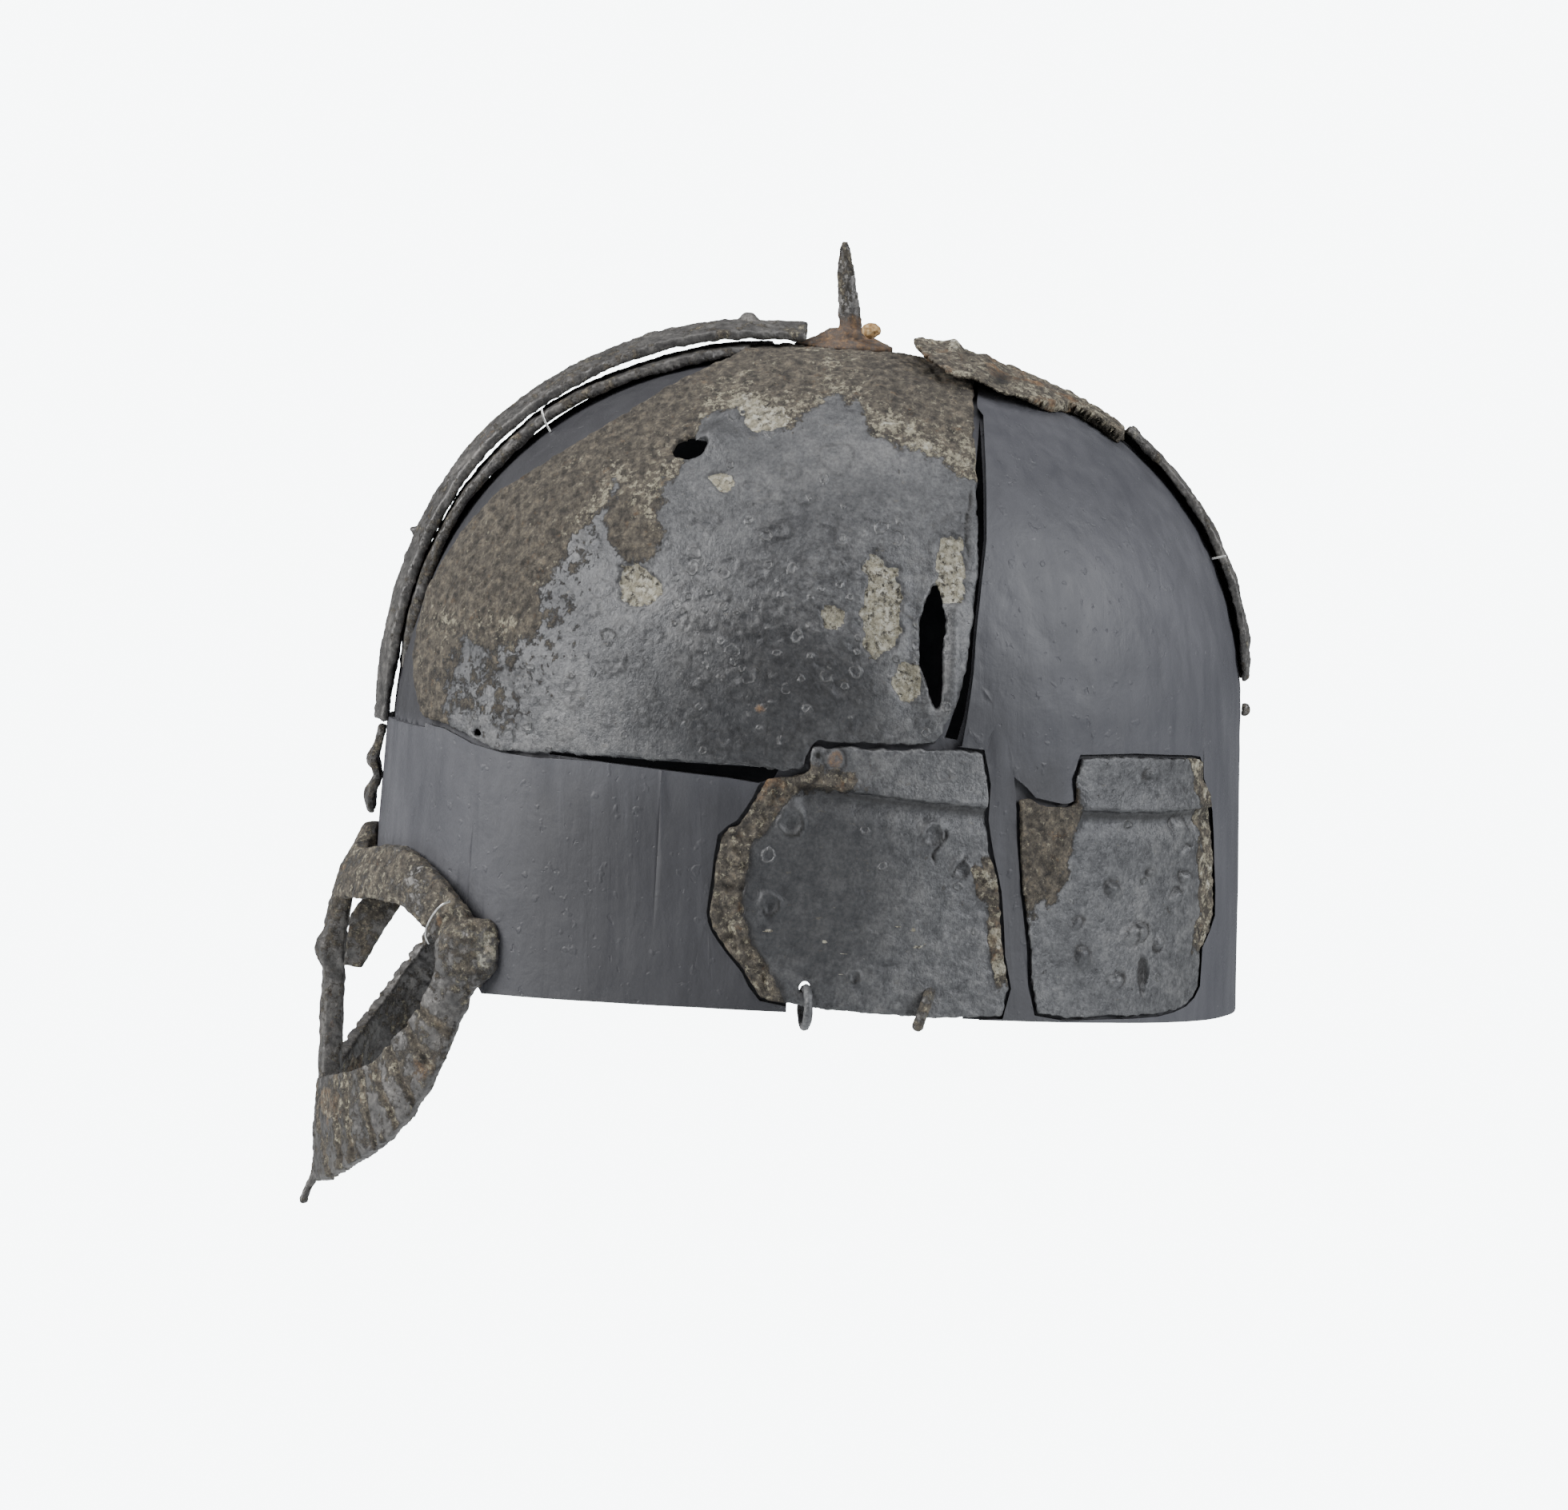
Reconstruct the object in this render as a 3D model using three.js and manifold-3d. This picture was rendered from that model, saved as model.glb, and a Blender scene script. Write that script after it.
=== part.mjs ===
// Norse iron helmet with a spectacle guard: the surviving iron pieces on a light moulded support.
// Millimetres. +Z is up, the face looks towards -Y and the wearer's left side is +X.
// The origin is the middle of the head opening, in the plane of the rim.
import * as THREE from "three";
import { mergeVertices } from "three/addons/utils/BufferGeometryUtils.js";
import Module from "manifold-3d";

const wasm = await Module();
wasm.setup();

// ---- driving dimensions ---------------------------------------------------------------------
const HALF_LENGTH = 105.2;      // support's seat level, centre to forehead
const HALF_WIDTH = 89.2;        // centre to temple
const BAND_TOP = 60;            // height where the upright band turns into the dome
const DOME_RISE = 98.2;         // dome above the band
const APEX_SHIFT = 10;          // the crown's highest point lies ahead of the middle
const FLARE = 2;                // the band spreads this much towards the rim
const SHELL_INSIDE = -2.2;      // levels, measured outwards from the seat level
const SHELL_FACE = 1.6;
const PLATE_BACK = 0.35;
const PLATE_FACE = 2.35;
const RIDGE_FACE = 3.5;
const RIM_ARCH = 3;             // the rim is higher at the temples than in front and behind
const AROUND = 72;              // facets round the helmet
const DOME_ROWS = 15;
const STRIP_WIDTH = 24;
const INNER_STRIP_WIDTH = 30;
const STRIP_BOW = 2.6;          // how far a crest strip's edges curve down to the dome
const GUARD_THICKNESS = 3.4;
const NOSE_Y = -120.3;
const RIGHT_FORWARD = 4.5;      // the guard is bent: its right temple stands further forward
const RIGHT_LIFT = 5.5;         // and its right lower rim is higher
const KNOT = [85, 11.3];        // turn and height of the knot at the temple
const RING_RADIUS = 4.6;
const RING_WIRE = 1.15;
const TIE_WIRE = 0.32;

// ---- geometry to solids and back ------------------------------------------------------------
function solid(geometry) {
  const bare = geometry.clone();
  bare.deleteAttribute("normal");
  bare.deleteAttribute("uv");
  const merged = mergeVertices(bare, 1e-3);
  const corner = merged.index.array;
  const triangles = [];
  for (let i = 0; i < corner.length; i += 3) {
    const [a, b, c] = [corner[i], corner[i + 1], corner[i + 2]];
    if (a !== b && b !== c && c !== a) triangles.push(a, b, c);
  }
  const points = merged.attributes.position.array;
  if (signedVolume(points, triangles) < 0) {
    for (let i = 0; i < triangles.length; i += 3) {
      [triangles[i], triangles[i + 1]] = [triangles[i + 1], triangles[i]];
    }
  }
  const mesh = new wasm.Mesh({
    numProp: 3,
    vertProperties: new Float32Array(points),
    triVerts: new Uint32Array(triangles),
  });
  return new wasm.Manifold(mesh);
}

function signedVolume(points, triangles) {
  const [a, b, c] = [new THREE.Vector3(), new THREE.Vector3(), new THREE.Vector3()];
  let sum = 0;
  for (let i = 0; i < triangles.length; i += 3) {
    a.fromArray(points, triangles[i] * 3);
    b.fromArray(points, triangles[i + 1] * 3);
    c.fromArray(points, triangles[i + 2] * 3);
    sum += a.dot(b.cross(c));
  }
  return sum;
}

function toGeometry(manifold) {
  const mesh = manifold.getMesh();
  const geometry = new THREE.BufferGeometry();
  geometry.setAttribute("position", new THREE.BufferAttribute(mesh.vertProperties, 3));
  geometry.setIndex(new THREE.BufferAttribute(mesh.triVerts, 1));
  geometry.computeVertexNormals();
  return geometry;
}

// Moves every vertex of a geometry to where place(vertex) puts it.
function reshape(geometry, place) {
  const position = geometry.attributes.position;
  const point = new THREE.Vector3();
  for (let i = 0; i < position.count; i += 1) {
    point.fromBufferAttribute(position, i);
    place(point);
    position.setXYZ(i, point.x, point.y, point.z);
  }
  return geometry;
}

const smooth = (low, high, value) => THREE.MathUtils.smoothstep(value, low, high);
const lerp = THREE.MathUtils.lerp;

// ---- the helmet's own form --------------------------------------------------------------------
// The dome is fuller behind than in front, so its exponent grows from forehead to neck.
function domePoint(turn, climb, level) {
  const back = (1 - Math.cos(turn)) / 2;
  const exponent = lerp(2, 2.8, back ** 1.3);
  const spread = Math.cos(climb) ** (2 / exponent);
  const rise = Math.sin(climb) ** (2 / exponent);
  return new THREE.Vector3(
    (HALF_WIDTH + level) * spread * Math.sin(turn),
    -(HALF_LENGTH + level) * spread * Math.cos(turn) - APEX_SHIFT * rise * rise,
    BAND_TOP + (DOME_RISE + level) * rise,
  );
}

// A closed solid of the helmet's form at one level of its wall, filled down to the floor height.
function form(level, floor = -20) {
  const profile = [new THREE.Vector2(0, -1), new THREE.Vector2(1, -1), new THREE.Vector2(1, 0)];
  for (let row = 1; row < DOME_ROWS; row += 1) {
    profile.push(new THREE.Vector2(Math.cos((row / DOME_ROWS) * (Math.PI / 2)), row / DOME_ROWS));
  }
  profile.push(new THREE.Vector2(0, 1));
  return solid(reshape(new THREE.LatheGeometry(profile, AROUND), (point) => {
    const radius = Math.hypot(point.x, point.z);
    const turn = Math.atan2(point.x, point.z);
    if (point.y > 0) {
      point.copy(domePoint(turn, point.y * (Math.PI / 2), level));
      if (radius < 1e-6) point.x = 0;
    } else {
      const height = lerp(floor, BAND_TOP, point.y + 1);
      const out = level + (FLARE * (BAND_TOP - height)) / BAND_TOP;
      const wide = radius * (HALF_WIDTH + out) * Math.sin(turn);
      point.set(wide, -radius * (HALF_LENGTH + out) * Math.cos(turn), height);
    }
  }));
}

// ---- side-view outlines, in [y, z] --------------------------------------------------------------
const SIDE = new THREE.Matrix4().makeBasis(
  new THREE.Vector3(0, 1, 0), new THREE.Vector3(0, 0, 1), new THREE.Vector3(1, 0, 0));

function rounded(points, perPoint = 2) {
  const corners = points.map(([y, z]) => new THREE.Vector3(y, z, 0));
  const curve = new THREE.CatmullRomCurve3(corners, true, "catmullrom", 0.35);
  return curve.getPoints(points.length * perPoint).slice(0, -1).map((p) => [p.x, p.y]);
}

function area(points) {
  return points.reduce((sum, [y, z], i) => {
    const [y2, z2] = points[(i + 1) % points.length];
    return sum + y * z2 - y2 * z;
  }, 0) / 2;
}

// The same outline, moved outwards by a gap.
function grow(points, gap) {
  const side = Math.sign(area(points));
  return points.map(([y, z], i) => {
    const [y0, z0] = points.at(i - 1);
    const [y1, z1] = points[(i + 1) % points.length];
    const length = Math.hypot(y1 - y0, z1 - z0);
    return [y + (side * gap * (z1 - z0)) / length, z - (side * gap * (y1 - y0)) / length];
  });
}

function prism(points, from, to) {
  const shape = new THREE.Shape(points.map(([y, z]) => new THREE.Vector2(y, z)));
  const block = new THREE.ExtrudeGeometry(shape, { depth: to - from, bevelEnabled: false });
  return solid(block.applyMatrix4(SIDE).translate(from, 0, 0));
}

const CROWN_PLATE = rounded([
  [-96, 66.5], [-98.6, 72], [-99.9, 80], [-97.6, 96], [-91, 108.5], [-81.5, 121], [-64.5, 133.5],
  [-49, 143.9], [-40.6, 149.4], [-31.7, 154.2], [-20.5, 159.6], [-14, 167], [8, 170], [34.5, 168], [34.8, 150], [36.4, 131.5],
  [37.6, 114.5], [36.9, 104], [36.4, 93.3], [35.4, 85.5], [33.4, 78.5], [31, 73.6], [28.6, 68.9],
  [16, 68.4], [0, 68.4], [-2.5, 61.5],
  [-13, 61.7], [-28, 62.1], [-61, 61.6], [-77, 61], [-84.7, 63.6], [-90.8, 65.8],
]);
const ARROW_HOLE = [[-38, 134], [-36.5, 137.4], [-33.9, 138.6], [-28.1, 137.9], [-30, 135], [-34, 133.6]];
const SLIT_HOLE = [[27, 109], [24.2, 99], [24.5, 88], [29.3, 75], [30.4, 84], [30, 101]];
const SIDE_PLATE = rounded([
  [-0.2, 67.2], [-1, 61], [-10.7, 59], [-13.4, 54], [-17.1, 48], [-21.4, 44.5], [-22.4, 34],
  [-23.2, 26], [-22, 22], [-18.2, 17], [-14.2, 12.5], [-10, 6.2], [2.3, 4.8], [15, 3.4],
  [48.2, 3.6], [47.6, 18], [46, 33.4], [43.8, 42], [42, 51], [40.6, 67.2], [20, 67.3],
]);
const REAR_PLATE = rounded([
  [65, 66.2], [92.4, 65.4], [95.3, 64], [95.6, 60], [98, 52], [99.2, 39], [100, 26], [97.2, 18.5],
  [97.1, 9], [94, 5], [87, 3.2], [72, 3.2], [56.9, 4.2], [54.6, 20], [52.2, 35], [50.2, 55.8],
  [55.6, 54.6], [60.7, 54.2], [64.4, 55.6],
]);
const REAR_PLATE_NOTCH = [[48.6, 61.5], [51.8, 59], [54.2, 56.5], [61, 55], [60, 50], [50, 50]];
const CROWN_WINDOW = [
  [-84, 78], [-82, 98], [-66, 118], [-44, 134], [-20, 146], [20, 146], [29, 122], [31.6, 108],
  [31.6, 88], [29.6, 74], [-10, 73], [-60, 74],
];
const SIDE_WINDOW = [[-4, 14], [-14, 30], [-10, 46], [-2, 52], [32, 48], [38, 28], [40, -30], [-3.2, -30]];
const REAR_WINDOW = [[62, 14], [60, 46], [90, 50], [92, 30], [88, 14]];
const RING_HOLES = [[0.2, 9.2], [30.6, 9]];
const HOLE_RADII = [1.7, 1.35];
// The support stands back from the crown plate behind its rear edge and under its front half.
const REAR_GAP = [
  [35, 150], [37.7, 147], [38.8, 131.8], [39.4, 117.9], [38.6, 107.4], [37.9, 96.8], [37.6, 86.2],
  [36.6, 75.5], [35.6, 68.6], [28, 68], [30, 100],
];
const REAR_SLOT = [
  [36.9, 146], [38.2, 131], [38.8, 118], [38, 107], [37.3, 97], [37, 86], [35.9, 76], [34.4, 70],
  [31.4, 70.5], [33, 76], [35, 83], [36, 93], [36.5, 107], [36.8, 118], [36, 132],
];
const LOWER_SLOT = [[-64, 61.7], [-8, 61.7], [-9.4, 59], [-13, 57.8], [-20, 58.6], [-40, 59.8], [-64, 61.1]];
// The support ends in front behind the brow rims, so that the eyes look out under it.
const FACE_CUT = [
  [-130, -40], [-130, 24], [-108, 25], [-100, 24.5], [-94, 21.5], [-88, 17.5], [-83, 12.5],
  [-80.5, 6], [-79.6, 3.5], [-77.8, 0.8], [-77.4, -40],
];

function disc([y, z], radius, sides = 10) {
  return Array.from({ length: sides }, (_, i) => {
    const angle = (i / sides) * 2 * Math.PI;
    return [y + radius * Math.cos(angle), z + radius * Math.sin(angle)];
  });
}

const farSide = HALF_WIDTH + 30;   // past everything on either side
const rimCut = solid(reshape(
  new THREE.BoxGeometry(300, 300, 60, 1, 12, 1).translate(0, 0, -30),
  (point) => {
    if (point.z > -1) point.z = RIM_ARCH * Math.max(0, 1 - (point.y / 105) ** 2);
  },
));
const seatLevel = form(0);
const plateBack = form(PLATE_BACK);
const plateFace = form(PLATE_FACE);

// ---- the support: seat level under the iron, one step higher where it shows ---------------------
function supportShell() {
  const channel = prism([[-130, 64], [-60, 64], [-30, 120], [4, 140], [4, 190], [-130, 190]], -24, 40);
  const bandLip = prism([[-130, -30], [-130, 66.5], [-101, 65.3], [-91, 61.6], [-84, 61.8], [-76, 60.4],
    [-66, 60], [-60, -30]], 0, farSide);
  const pockets = [
    prism(grow(CROWN_PLATE, 1.3), 0.5, farSide).subtract(bandLip),
    prism(REAR_GAP, 20, farSide),
    prism(grow(SIDE_PLATE, 0.9), 10, farSide),
    prism(grow(REAR_PLATE, 0.8), 10, farSide),
    prism(REAR_PLATE_NOTCH, 10, farSide),
    channel,
  ];
  const windows = [CROWN_WINDOW, SIDE_WINDOW, REAR_WINDOW, REAR_SLOT, LOWER_SLOT]
    .map((hole) => prism(hole, 20, farSide));
  let raised = form(SHELL_FACE);
  for (const pocket of pockets) raised = raised.subtract(pocket);
  let wall = raised.add(seatLevel).subtract(form(SHELL_INSIDE, -30));
  for (const hole of windows) wall = wall.subtract(hole);
  return wall.subtract(rimCut).subtract(prism(FACE_CUT, -farSide, farSide));
}

// ---- iron plates --------------------------------------------------------------------------------
function plate(outline, face = plateFace, from = 3) {
  return prism(outline, from, farSide).intersect(face).subtract(plateBack);
}

function crownPlate() {
  return plate(CROWN_PLATE, plateFace, 0.6)
    .subtract(prism(ARROW_HOLE, 3, farSide))
    .subtract(prism(SLIT_HOLE, 3, farSide))
    .subtract(prism(disc([-82, 64.6], 1), 3, farSide));
}

function sidePlate() {
  const ridge = plate([[-1.6, 61.4], [-1.4, 58.2], [20, 55.8], [41.3, 53.8], [41.2, 57.2], [20, 59]],
    form(RIDGE_FACE));
  let body = plate(SIDE_PLATE).add(ridge);
  RING_HOLES.forEach((centre, i) => {
    body = body.subtract(prism(disc(centre, HOLE_RADII[i]), 3, farSide));
  });
  return body.subtract(rimCut);
}

function rearPlate() {
  const ridge = plate([[65, 56.6], [65, 53.4], [82, 52.6], [97.4, 53], [97.2, 56], [82, 55.8]],
    form(RIDGE_FACE));
  return plate(REAR_PLATE).add(ridge).subtract(rimCut);
}

// ---- bent strips: a box whose length follows a curve ----------------------------------------------
// place(along 0..1, across -1..1, depth 0..1) gives the point; depth 1 is the outer face.
function bentBar(steps, place, acrossSteps = 2) {
  const bar = new THREE.BoxGeometry(2, 1, 1, acrossSteps, 1, steps).translate(0, 0.5, 0.5);
  return solid(reshape(bar, (point) => point.copy(place(point.z, point.x, point.y))));
}

// A strip over the crest. The path is its outer face in the helmet's middle plane, in [y, z]. Its
// edges curve down to the dome, the far one by rightBow.
function crestStrip({ path, width, thickness, bow, rightBow = bow, steps = 24, ends }) {
  const curve = new THREE.CatmullRomCurve3(path.map(([y, z]) => new THREE.Vector3(0, y, z)));
  return bentBar(steps, (along, across, depth) => {
    const point = curve.getPointAt(along);
    const tangent = curve.getTangentAt(along);
    const inward = new THREE.Vector3(0, tangent.z, -tangent.y);
    if (inward.dot(new THREE.Vector3(0, -point.y, 60 - point.z)) < 0) inward.negate();
    const narrow = lerp(ends, 1, Math.min(1, 8 * along, 8 * (1 - along)));
    point.addScaledVector(inward, (1 - depth) * thickness * lerp(0.8, 1, narrow));
    point.addScaledVector(inward, (across < 0 ? rightBow : bow) * across * across);
    point.x = (across * width * narrow) / 2;
    return point;
  }, 4);
}

const crestOuter = () => crestStrip({
  path: [[-110.1, 63.2], [-109.3, 80], [-106.8, 94], [-102.1, 109.6], [-91, 130], [-74.3, 146.7],
    [-49.6, 160.6], [-27, 166.4], [-6.3, 166.8]],
  width: STRIP_WIDTH, thickness: 2.4, bow: STRIP_BOW, ends: 0.8,
}).subtract(form(SHELL_FACE + 0.3));

const crestInner = () => crestStrip({
  path: [[-104.6, 72], [-103.2, 88.2], [-99.3, 102.9], [-90.6, 121], [-77.3, 137], [-64.1, 147],
    [-41.8, 156.6], [-26, 160.6], [-14.5, 161.6]],
  width: INNER_STRIP_WIDTH, thickness: 1.5, bow: 0.9, ends: 0.7,
}).subtract(form(0.3)).subtract(prism(grow(CROWN_PLATE, 0.4), 0, farSide));

const noseStrip = () => crestStrip({
  path: [[-108.6, 61.4], [-109.6, 57], [-110.7, 52.3], [-109.4, 49], [-110.9, 44.3], [-110.6, 39.5]],
  width: 17, thickness: 1.6, bow: 0.5, steps: 12, ends: 0.7,
}).subtract(form(SHELL_FACE + 0.3));

const rearStrip = () => crestStrip({
  path: [[76, 144.9], [80, 141], [86.5, 135], [93.2, 127], [99, 117.5], [104.2, 105.8], [107.4, 92.5],
    [108.2, 82.8]],
  width: STRIP_WIDTH, thickness: 2, bow: 0.7, rightBow: 3.6, steps: 14, ends: 0.75,
}).subtract(form(SHELL_FACE + 0.3));

function rearCrownFragment() {
  const outline = rounded([
    [19.6, 166], [21, 160], [26.8, 156], [31.4, 154], [35.4, 154.4], [41.3, 152.2], [47.3, 151.4],
    [53.2, 150.6], [59.8, 150.2], [64.3, 148.2], [68.8, 145.8], [73, 143], [73.8, 148], [60, 170],
    [40, 176], [20, 176],
  ]);
  const skin = prism(outline, -27, 40).intersect(form(4.6)).subtract(form(2));
  return skin.warp((point) => {
    const lift = 2.2 * (1 - smooth(22, 52, point[1]));
    point[2] += lift;
  });
}

function spike() {
  const square = 4;
  const profile = [[0, 150], [3.2, 150], [3, 165], [3.1, 170], [2.7, 178], [1.7, 185.6], [0.9, 187.2],
    [0, 187.4]].map(([radius, height]) => new THREE.Vector2(radius, height));
  const shaft = new THREE.LatheGeometry(profile, square).rotateX(Math.PI / 2).translate(0, 4.4, 0);
  reshape(shaft, (point) => {
    point.y -= 2.4 * smooth(164, 187, point.z);
  });
  const collar = new THREE.LatheGeometry([[0, 150], [14, 150], [13, 161.4], [7.5, 163.4], [4, 165.6],
    [0, 165.8]].map(([radius, height]) => new THREE.Vector2(radius, height)), 16);
  reshape(collar.rotateX(Math.PI / 2), (point) => {
    point.x *= 0.85;
    point.y = point.y * 0.95 + 3;
  });
  return solid(shaft).add(solid(collar)).subtract(form(PLATE_FACE + 0.3));
}

function packingLump() {
  const lump = new THREE.SphereGeometry(2.3, 10, 8).scale(1, 1.1, 0.9).translate(7.6, 9.6, 165.4);
  return solid(lump).subtract(spike()).subtract(form(PLATE_FACE + 0.3));
}

// ---- the spectacle guard ----------------------------------------------------------------------------
// A sheet in front of the face. turn is 0 at the nose and 85 degrees at the temple; above the rim
// it follows the band, below it bends more tightly round the eyes.
function guardPoint(turnDegrees, height, depth, side) {
  const turn = THREE.MathUtils.degToRad(turnDegrees);
  const noseY = NOSE_Y + 10.3 * Math.max(0, (height - 5) / 31) ** 1.6;
  const low = new THREE.Vector2(67 * Math.sin(turn), noseY + 44 * (1 - Math.cos(turn)));
  const bandTurn = 0.522 * turn;
  const high = new THREE.Vector2(94.5 * Math.sin(bandTurn), (noseY - 1.5) * Math.cos(bandTurn));
  const flat = low.lerp(high, smooth(0, 26, height));
  if (side < 0) flat.y -= RIGHT_FORWARD * smooth(20, 60, turnDegrees);
  const inward = new THREE.Vector2(-Math.sin(turn * 0.8), Math.cos(turn * 0.8));
  flat.addScaledVector(inward, (1 - depth) * GUARD_THICKNESS);
  return new THREE.Vector3(side * flat.x, flat.y, height);
}

// A rim between two edges, each a curve through [turn, height].
function guardRim(edgeA, edgeB, side, steps) {
  const [a, b] = [edgeA, edgeB].map((edge) => new THREE.SplineCurve(
    edge.map(([turn, height]) => new THREE.Vector2(turn, height))));
  return bentBar(steps, (along, across, depth) => {
    const middle = (across + 1) / 2;
    const point = a.getPoint(along).lerp(b.getPoint(along), middle);
    const rise = depth > 0.5 ? 0.22 * (1 - across * across) : 0;   // the outer face is a little domed
    return guardPoint(point.x, point.y, depth + rise, side);
  });
}

const clearOfHelmet = form(SHELL_FACE + 0.3);

function browRim(side) {
  const rim = guardRim(
    [[9.5, 33.6], [18, 31.5], [30, 32.4], [44, 34.4], [57, 33.3], [70, 29.8], [80.5, 25], [86.5, 20.5]],
    [[9.5, 19.6], [16, 18.6], [30, 19.8], [46, 21], [60.6, 20.6], [66.2, 18.8], [71, 16.2], [75, 13.4]],
    side, 18);
  return rim.subtract(templeKnot(side, 0.4)).subtract(clearOfHelmet);
}

// The knot takes the end of the lower rim on its side, so the two are one forged piece.
function lowerRim(side) {
  const raise = (turn) => RIGHT_LIFT * smooth(17, 50, turn) * (1 - 0.8 * smooth(64, 76, turn));
  const lift = ([turn, height]) => [turn, height + (side < 0 ? raise(turn) : 0)];
  const inner = [[6.5, -27.6], [20, -25], [38.8, -21.6], [49.8, -17.8], [56.9, -12.1], [63.3, -6.5],
    [68.4, 0.2], [73.6, 6.1], [76, 10]];
  const outer = [[6.5, -52.8], [20, -51], [32.1, -47.5], [48.2, -41.3], [61.3, -33], [70, -23.5],
    [75.4, -14.9], [80, -5.9], [90, 11]];
  const rim = guardRim(inner.map(lift), outer.map(lift), side, 20);
  return rim.add(templeKnot(side)).subtract(clearOfHelmet);
}

// A blunt lump at the temple. gap makes it larger all round.
function templeKnot(side, gap = 0) {
  const knot = new THREE.SphereGeometry(1, 14, 10);
  const middle = guardPoint(...KNOT, 0.2, side);
  return solid(reshape(knot, (point) => {
    const stretch = 1 / Math.max(Math.abs(point.x), Math.abs(point.z), 0.8);
    point.multiply(new THREE.Vector3((5 + gap) * stretch, 8.2 + gap, (8.2 + gap) * stretch)).add(middle);
  }));
}

function nasalBar() {
  const heights = [36.5, 28, 18, 6, -8, -24, -40, -53.2];
  const halfWidths = [6.6, 6.2, 5.8, 6.6, 5.6, 5.4, 6, 6];
  const bar = bentBar(28, (along, across, depth) => {
    const step = along * (heights.length - 1);
    const low = Math.min(Math.floor(step), heights.length - 2);
    const height = lerp(heights[low], heights[low + 1], step - low);
    const half = lerp(halfWidths[low], halfWidths[low + 1], step - low);
    const point = guardPoint(0, height, 1, 1);
    const boss = height > 2 && height < 9 ? 1.2 : 0;   // a low knob between the eyes
    point.x = across * half;
    point.y += (1 - depth) * 4.6 + across * across * 1.4 - depth * boss;
    return point;
  }, 4);
  const tail = bentBar(8, (along, across, depth) => new THREE.Vector3(
    across * 2.2,
    -120.6 - 2.8 * smooth(0, 1, along) + (1 - depth) * 2,
    lerp(-50, -59.8, along),
  ));
  return bar.add(tail).subtract(clearOfHelmet);
}

function browLug() {
  return prism([[-98.8, 20.4], [-104.6, 11], [-110, 1], [-114.4, 1.4], [-113.4, 14], [-109.6, 20]],
    7.4, 9.4);
}

// ---- rings, rivets and tie wires ------------------------------------------------------------------
// The middle of an iron plate's thickness near the rim.
function wallX([y, z]) {
  const out = (PLATE_BACK + PLATE_FACE) / 2 + (FLARE * (BAND_TOP - z)) / BAND_TOP;
  return (HALF_WIDTH + out) * Math.sqrt(1 - (y / (HALF_LENGTH + out)) ** 2);
}

// The whole ring hangs on the lower edge of its hole.
function mailRing([y, z]) {
  const ring = new THREE.TorusGeometry(RING_RADIUS, RING_WIRE, 8, 20);
  return solid(ring.rotateX(Math.PI / 2).translate(wallX([y, z]), y, z - RING_RADIUS - 0.25));
}

// What is left of a ring: an open hook that leans forward as it hangs.
function brokenRing([y, z]) {
  const reach = 4.2;
  const hook = new THREE.CatmullRomCurve3(Array.from({ length: 9 }, (_, i) => {
    const angle = lerp(0.8 * Math.PI, -0.45 * Math.PI, i / 8);
    const lean = -1.3 * (1 - Math.sin(angle));
    return new THREE.Vector3(wallX([y, z]) + reach * Math.cos(angle), y + lean,
      z - reach + reach * Math.sin(angle));
  }));
  return rod(hook, 1.1, 14);
}

function rod(curve, radius, steps) {
  const round = new THREE.Shape();
  round.absarc(0, 0, radius, 0, 2 * Math.PI);
  return solid(new THREE.ExtrudeGeometry(round, { extrudePath: curve, steps, curveSegments: 4 }));
}

function tieWire(points) {
  const curve = new THREE.CatmullRomCurve3(points.map(([x, y, z]) => new THREE.Vector3(x, y, z)));
  return rod(curve, TIE_WIRE, points.length * 3);
}

// Modern wires that hold loose iron to its neighbour.
const frontTie = () => tieWire([[15.9, -71.2, 142.6], [16.6, -70.4, 140], [16.8, -68.6, 136.9]]);
const rearTie = () => tieWire([[13.2, 96.6, 113], [13.4, 98.6, 113.5], [12.9, 100.2, 113.9]]);
const templeTie = () => tieWire([[81.5, 23.6, 1.35], [79.5, 22.6, 1.7], [76, 19, 1.75], [73.6, 15, 1.7],
  [73.4, 12.6, 1.3]].map(([turn, height, depth]) => guardPoint(turn, height, depth, 1).toArray()));

const rearRivet = () => solid(new THREE.SphereGeometry(1.5, 10, 8).scale(1, 1, 1.2).translate(0, 107.2, 75))
  .subtract(form(SHELL_FACE + 0.3));

// ---- the assembly -----------------------------------------------------------------------------------
const group = new THREE.Group();

function addPart(name, manifold, color, roughness, metalness) {
  const material = new THREE.MeshStandardMaterial({ color, roughness, metalness });
  const mesh = new THREE.Mesh(toGeometry(manifold), material);
  mesh.name = name;
  group.add(mesh);
}

const RESIN = [0x6e7078, 0.45, 0];
const IRON = [0x5e6066, 0.5, 0.6];
const RUSTY = [0x5a5146, 0.8, 0.3];
const WIRE = [0xb8b8b4, 0.35, 0.9];

addPart("support_shell", supportShell(), ...RESIN);
addPart("crown_plate", crownPlate(), ...IRON);
addPart("side_band_plate", sidePlate(), ...IRON);
addPart("rear_band_plate", rearPlate(), ...IRON);
addPart("crest_strip_outer", crestOuter(), ...RUSTY);
addPart("crest_strip_inner", crestInner(), ...IRON);
addPart("nose_strip", noseStrip(), ...RUSTY);
addPart("rear_crown_fragment", rearCrownFragment(), ...RUSTY);
addPart("rear_strip", rearStrip(), ...RUSTY);
addPart("rear_rivet", rearRivet(), ...RUSTY);
addPart("spike", spike(), ...RUSTY);
addPart("packing_lump", packingLump(), 0xb08a50, 0.9, 0);
addPart("nasal_bar", nasalBar(), ...RUSTY);
for (const [name, side] of [["left", 1], ["right", -1]]) {
  addPart(`brow_rim_${name}`, browRim(side), ...RUSTY);
  addPart(`lower_rim_${name}`, lowerRim(side), ...RUSTY);
}
addPart("brow_lug", browLug(), ...RUSTY);
addPart("tie_wire_front", frontTie(), ...WIRE);
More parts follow.
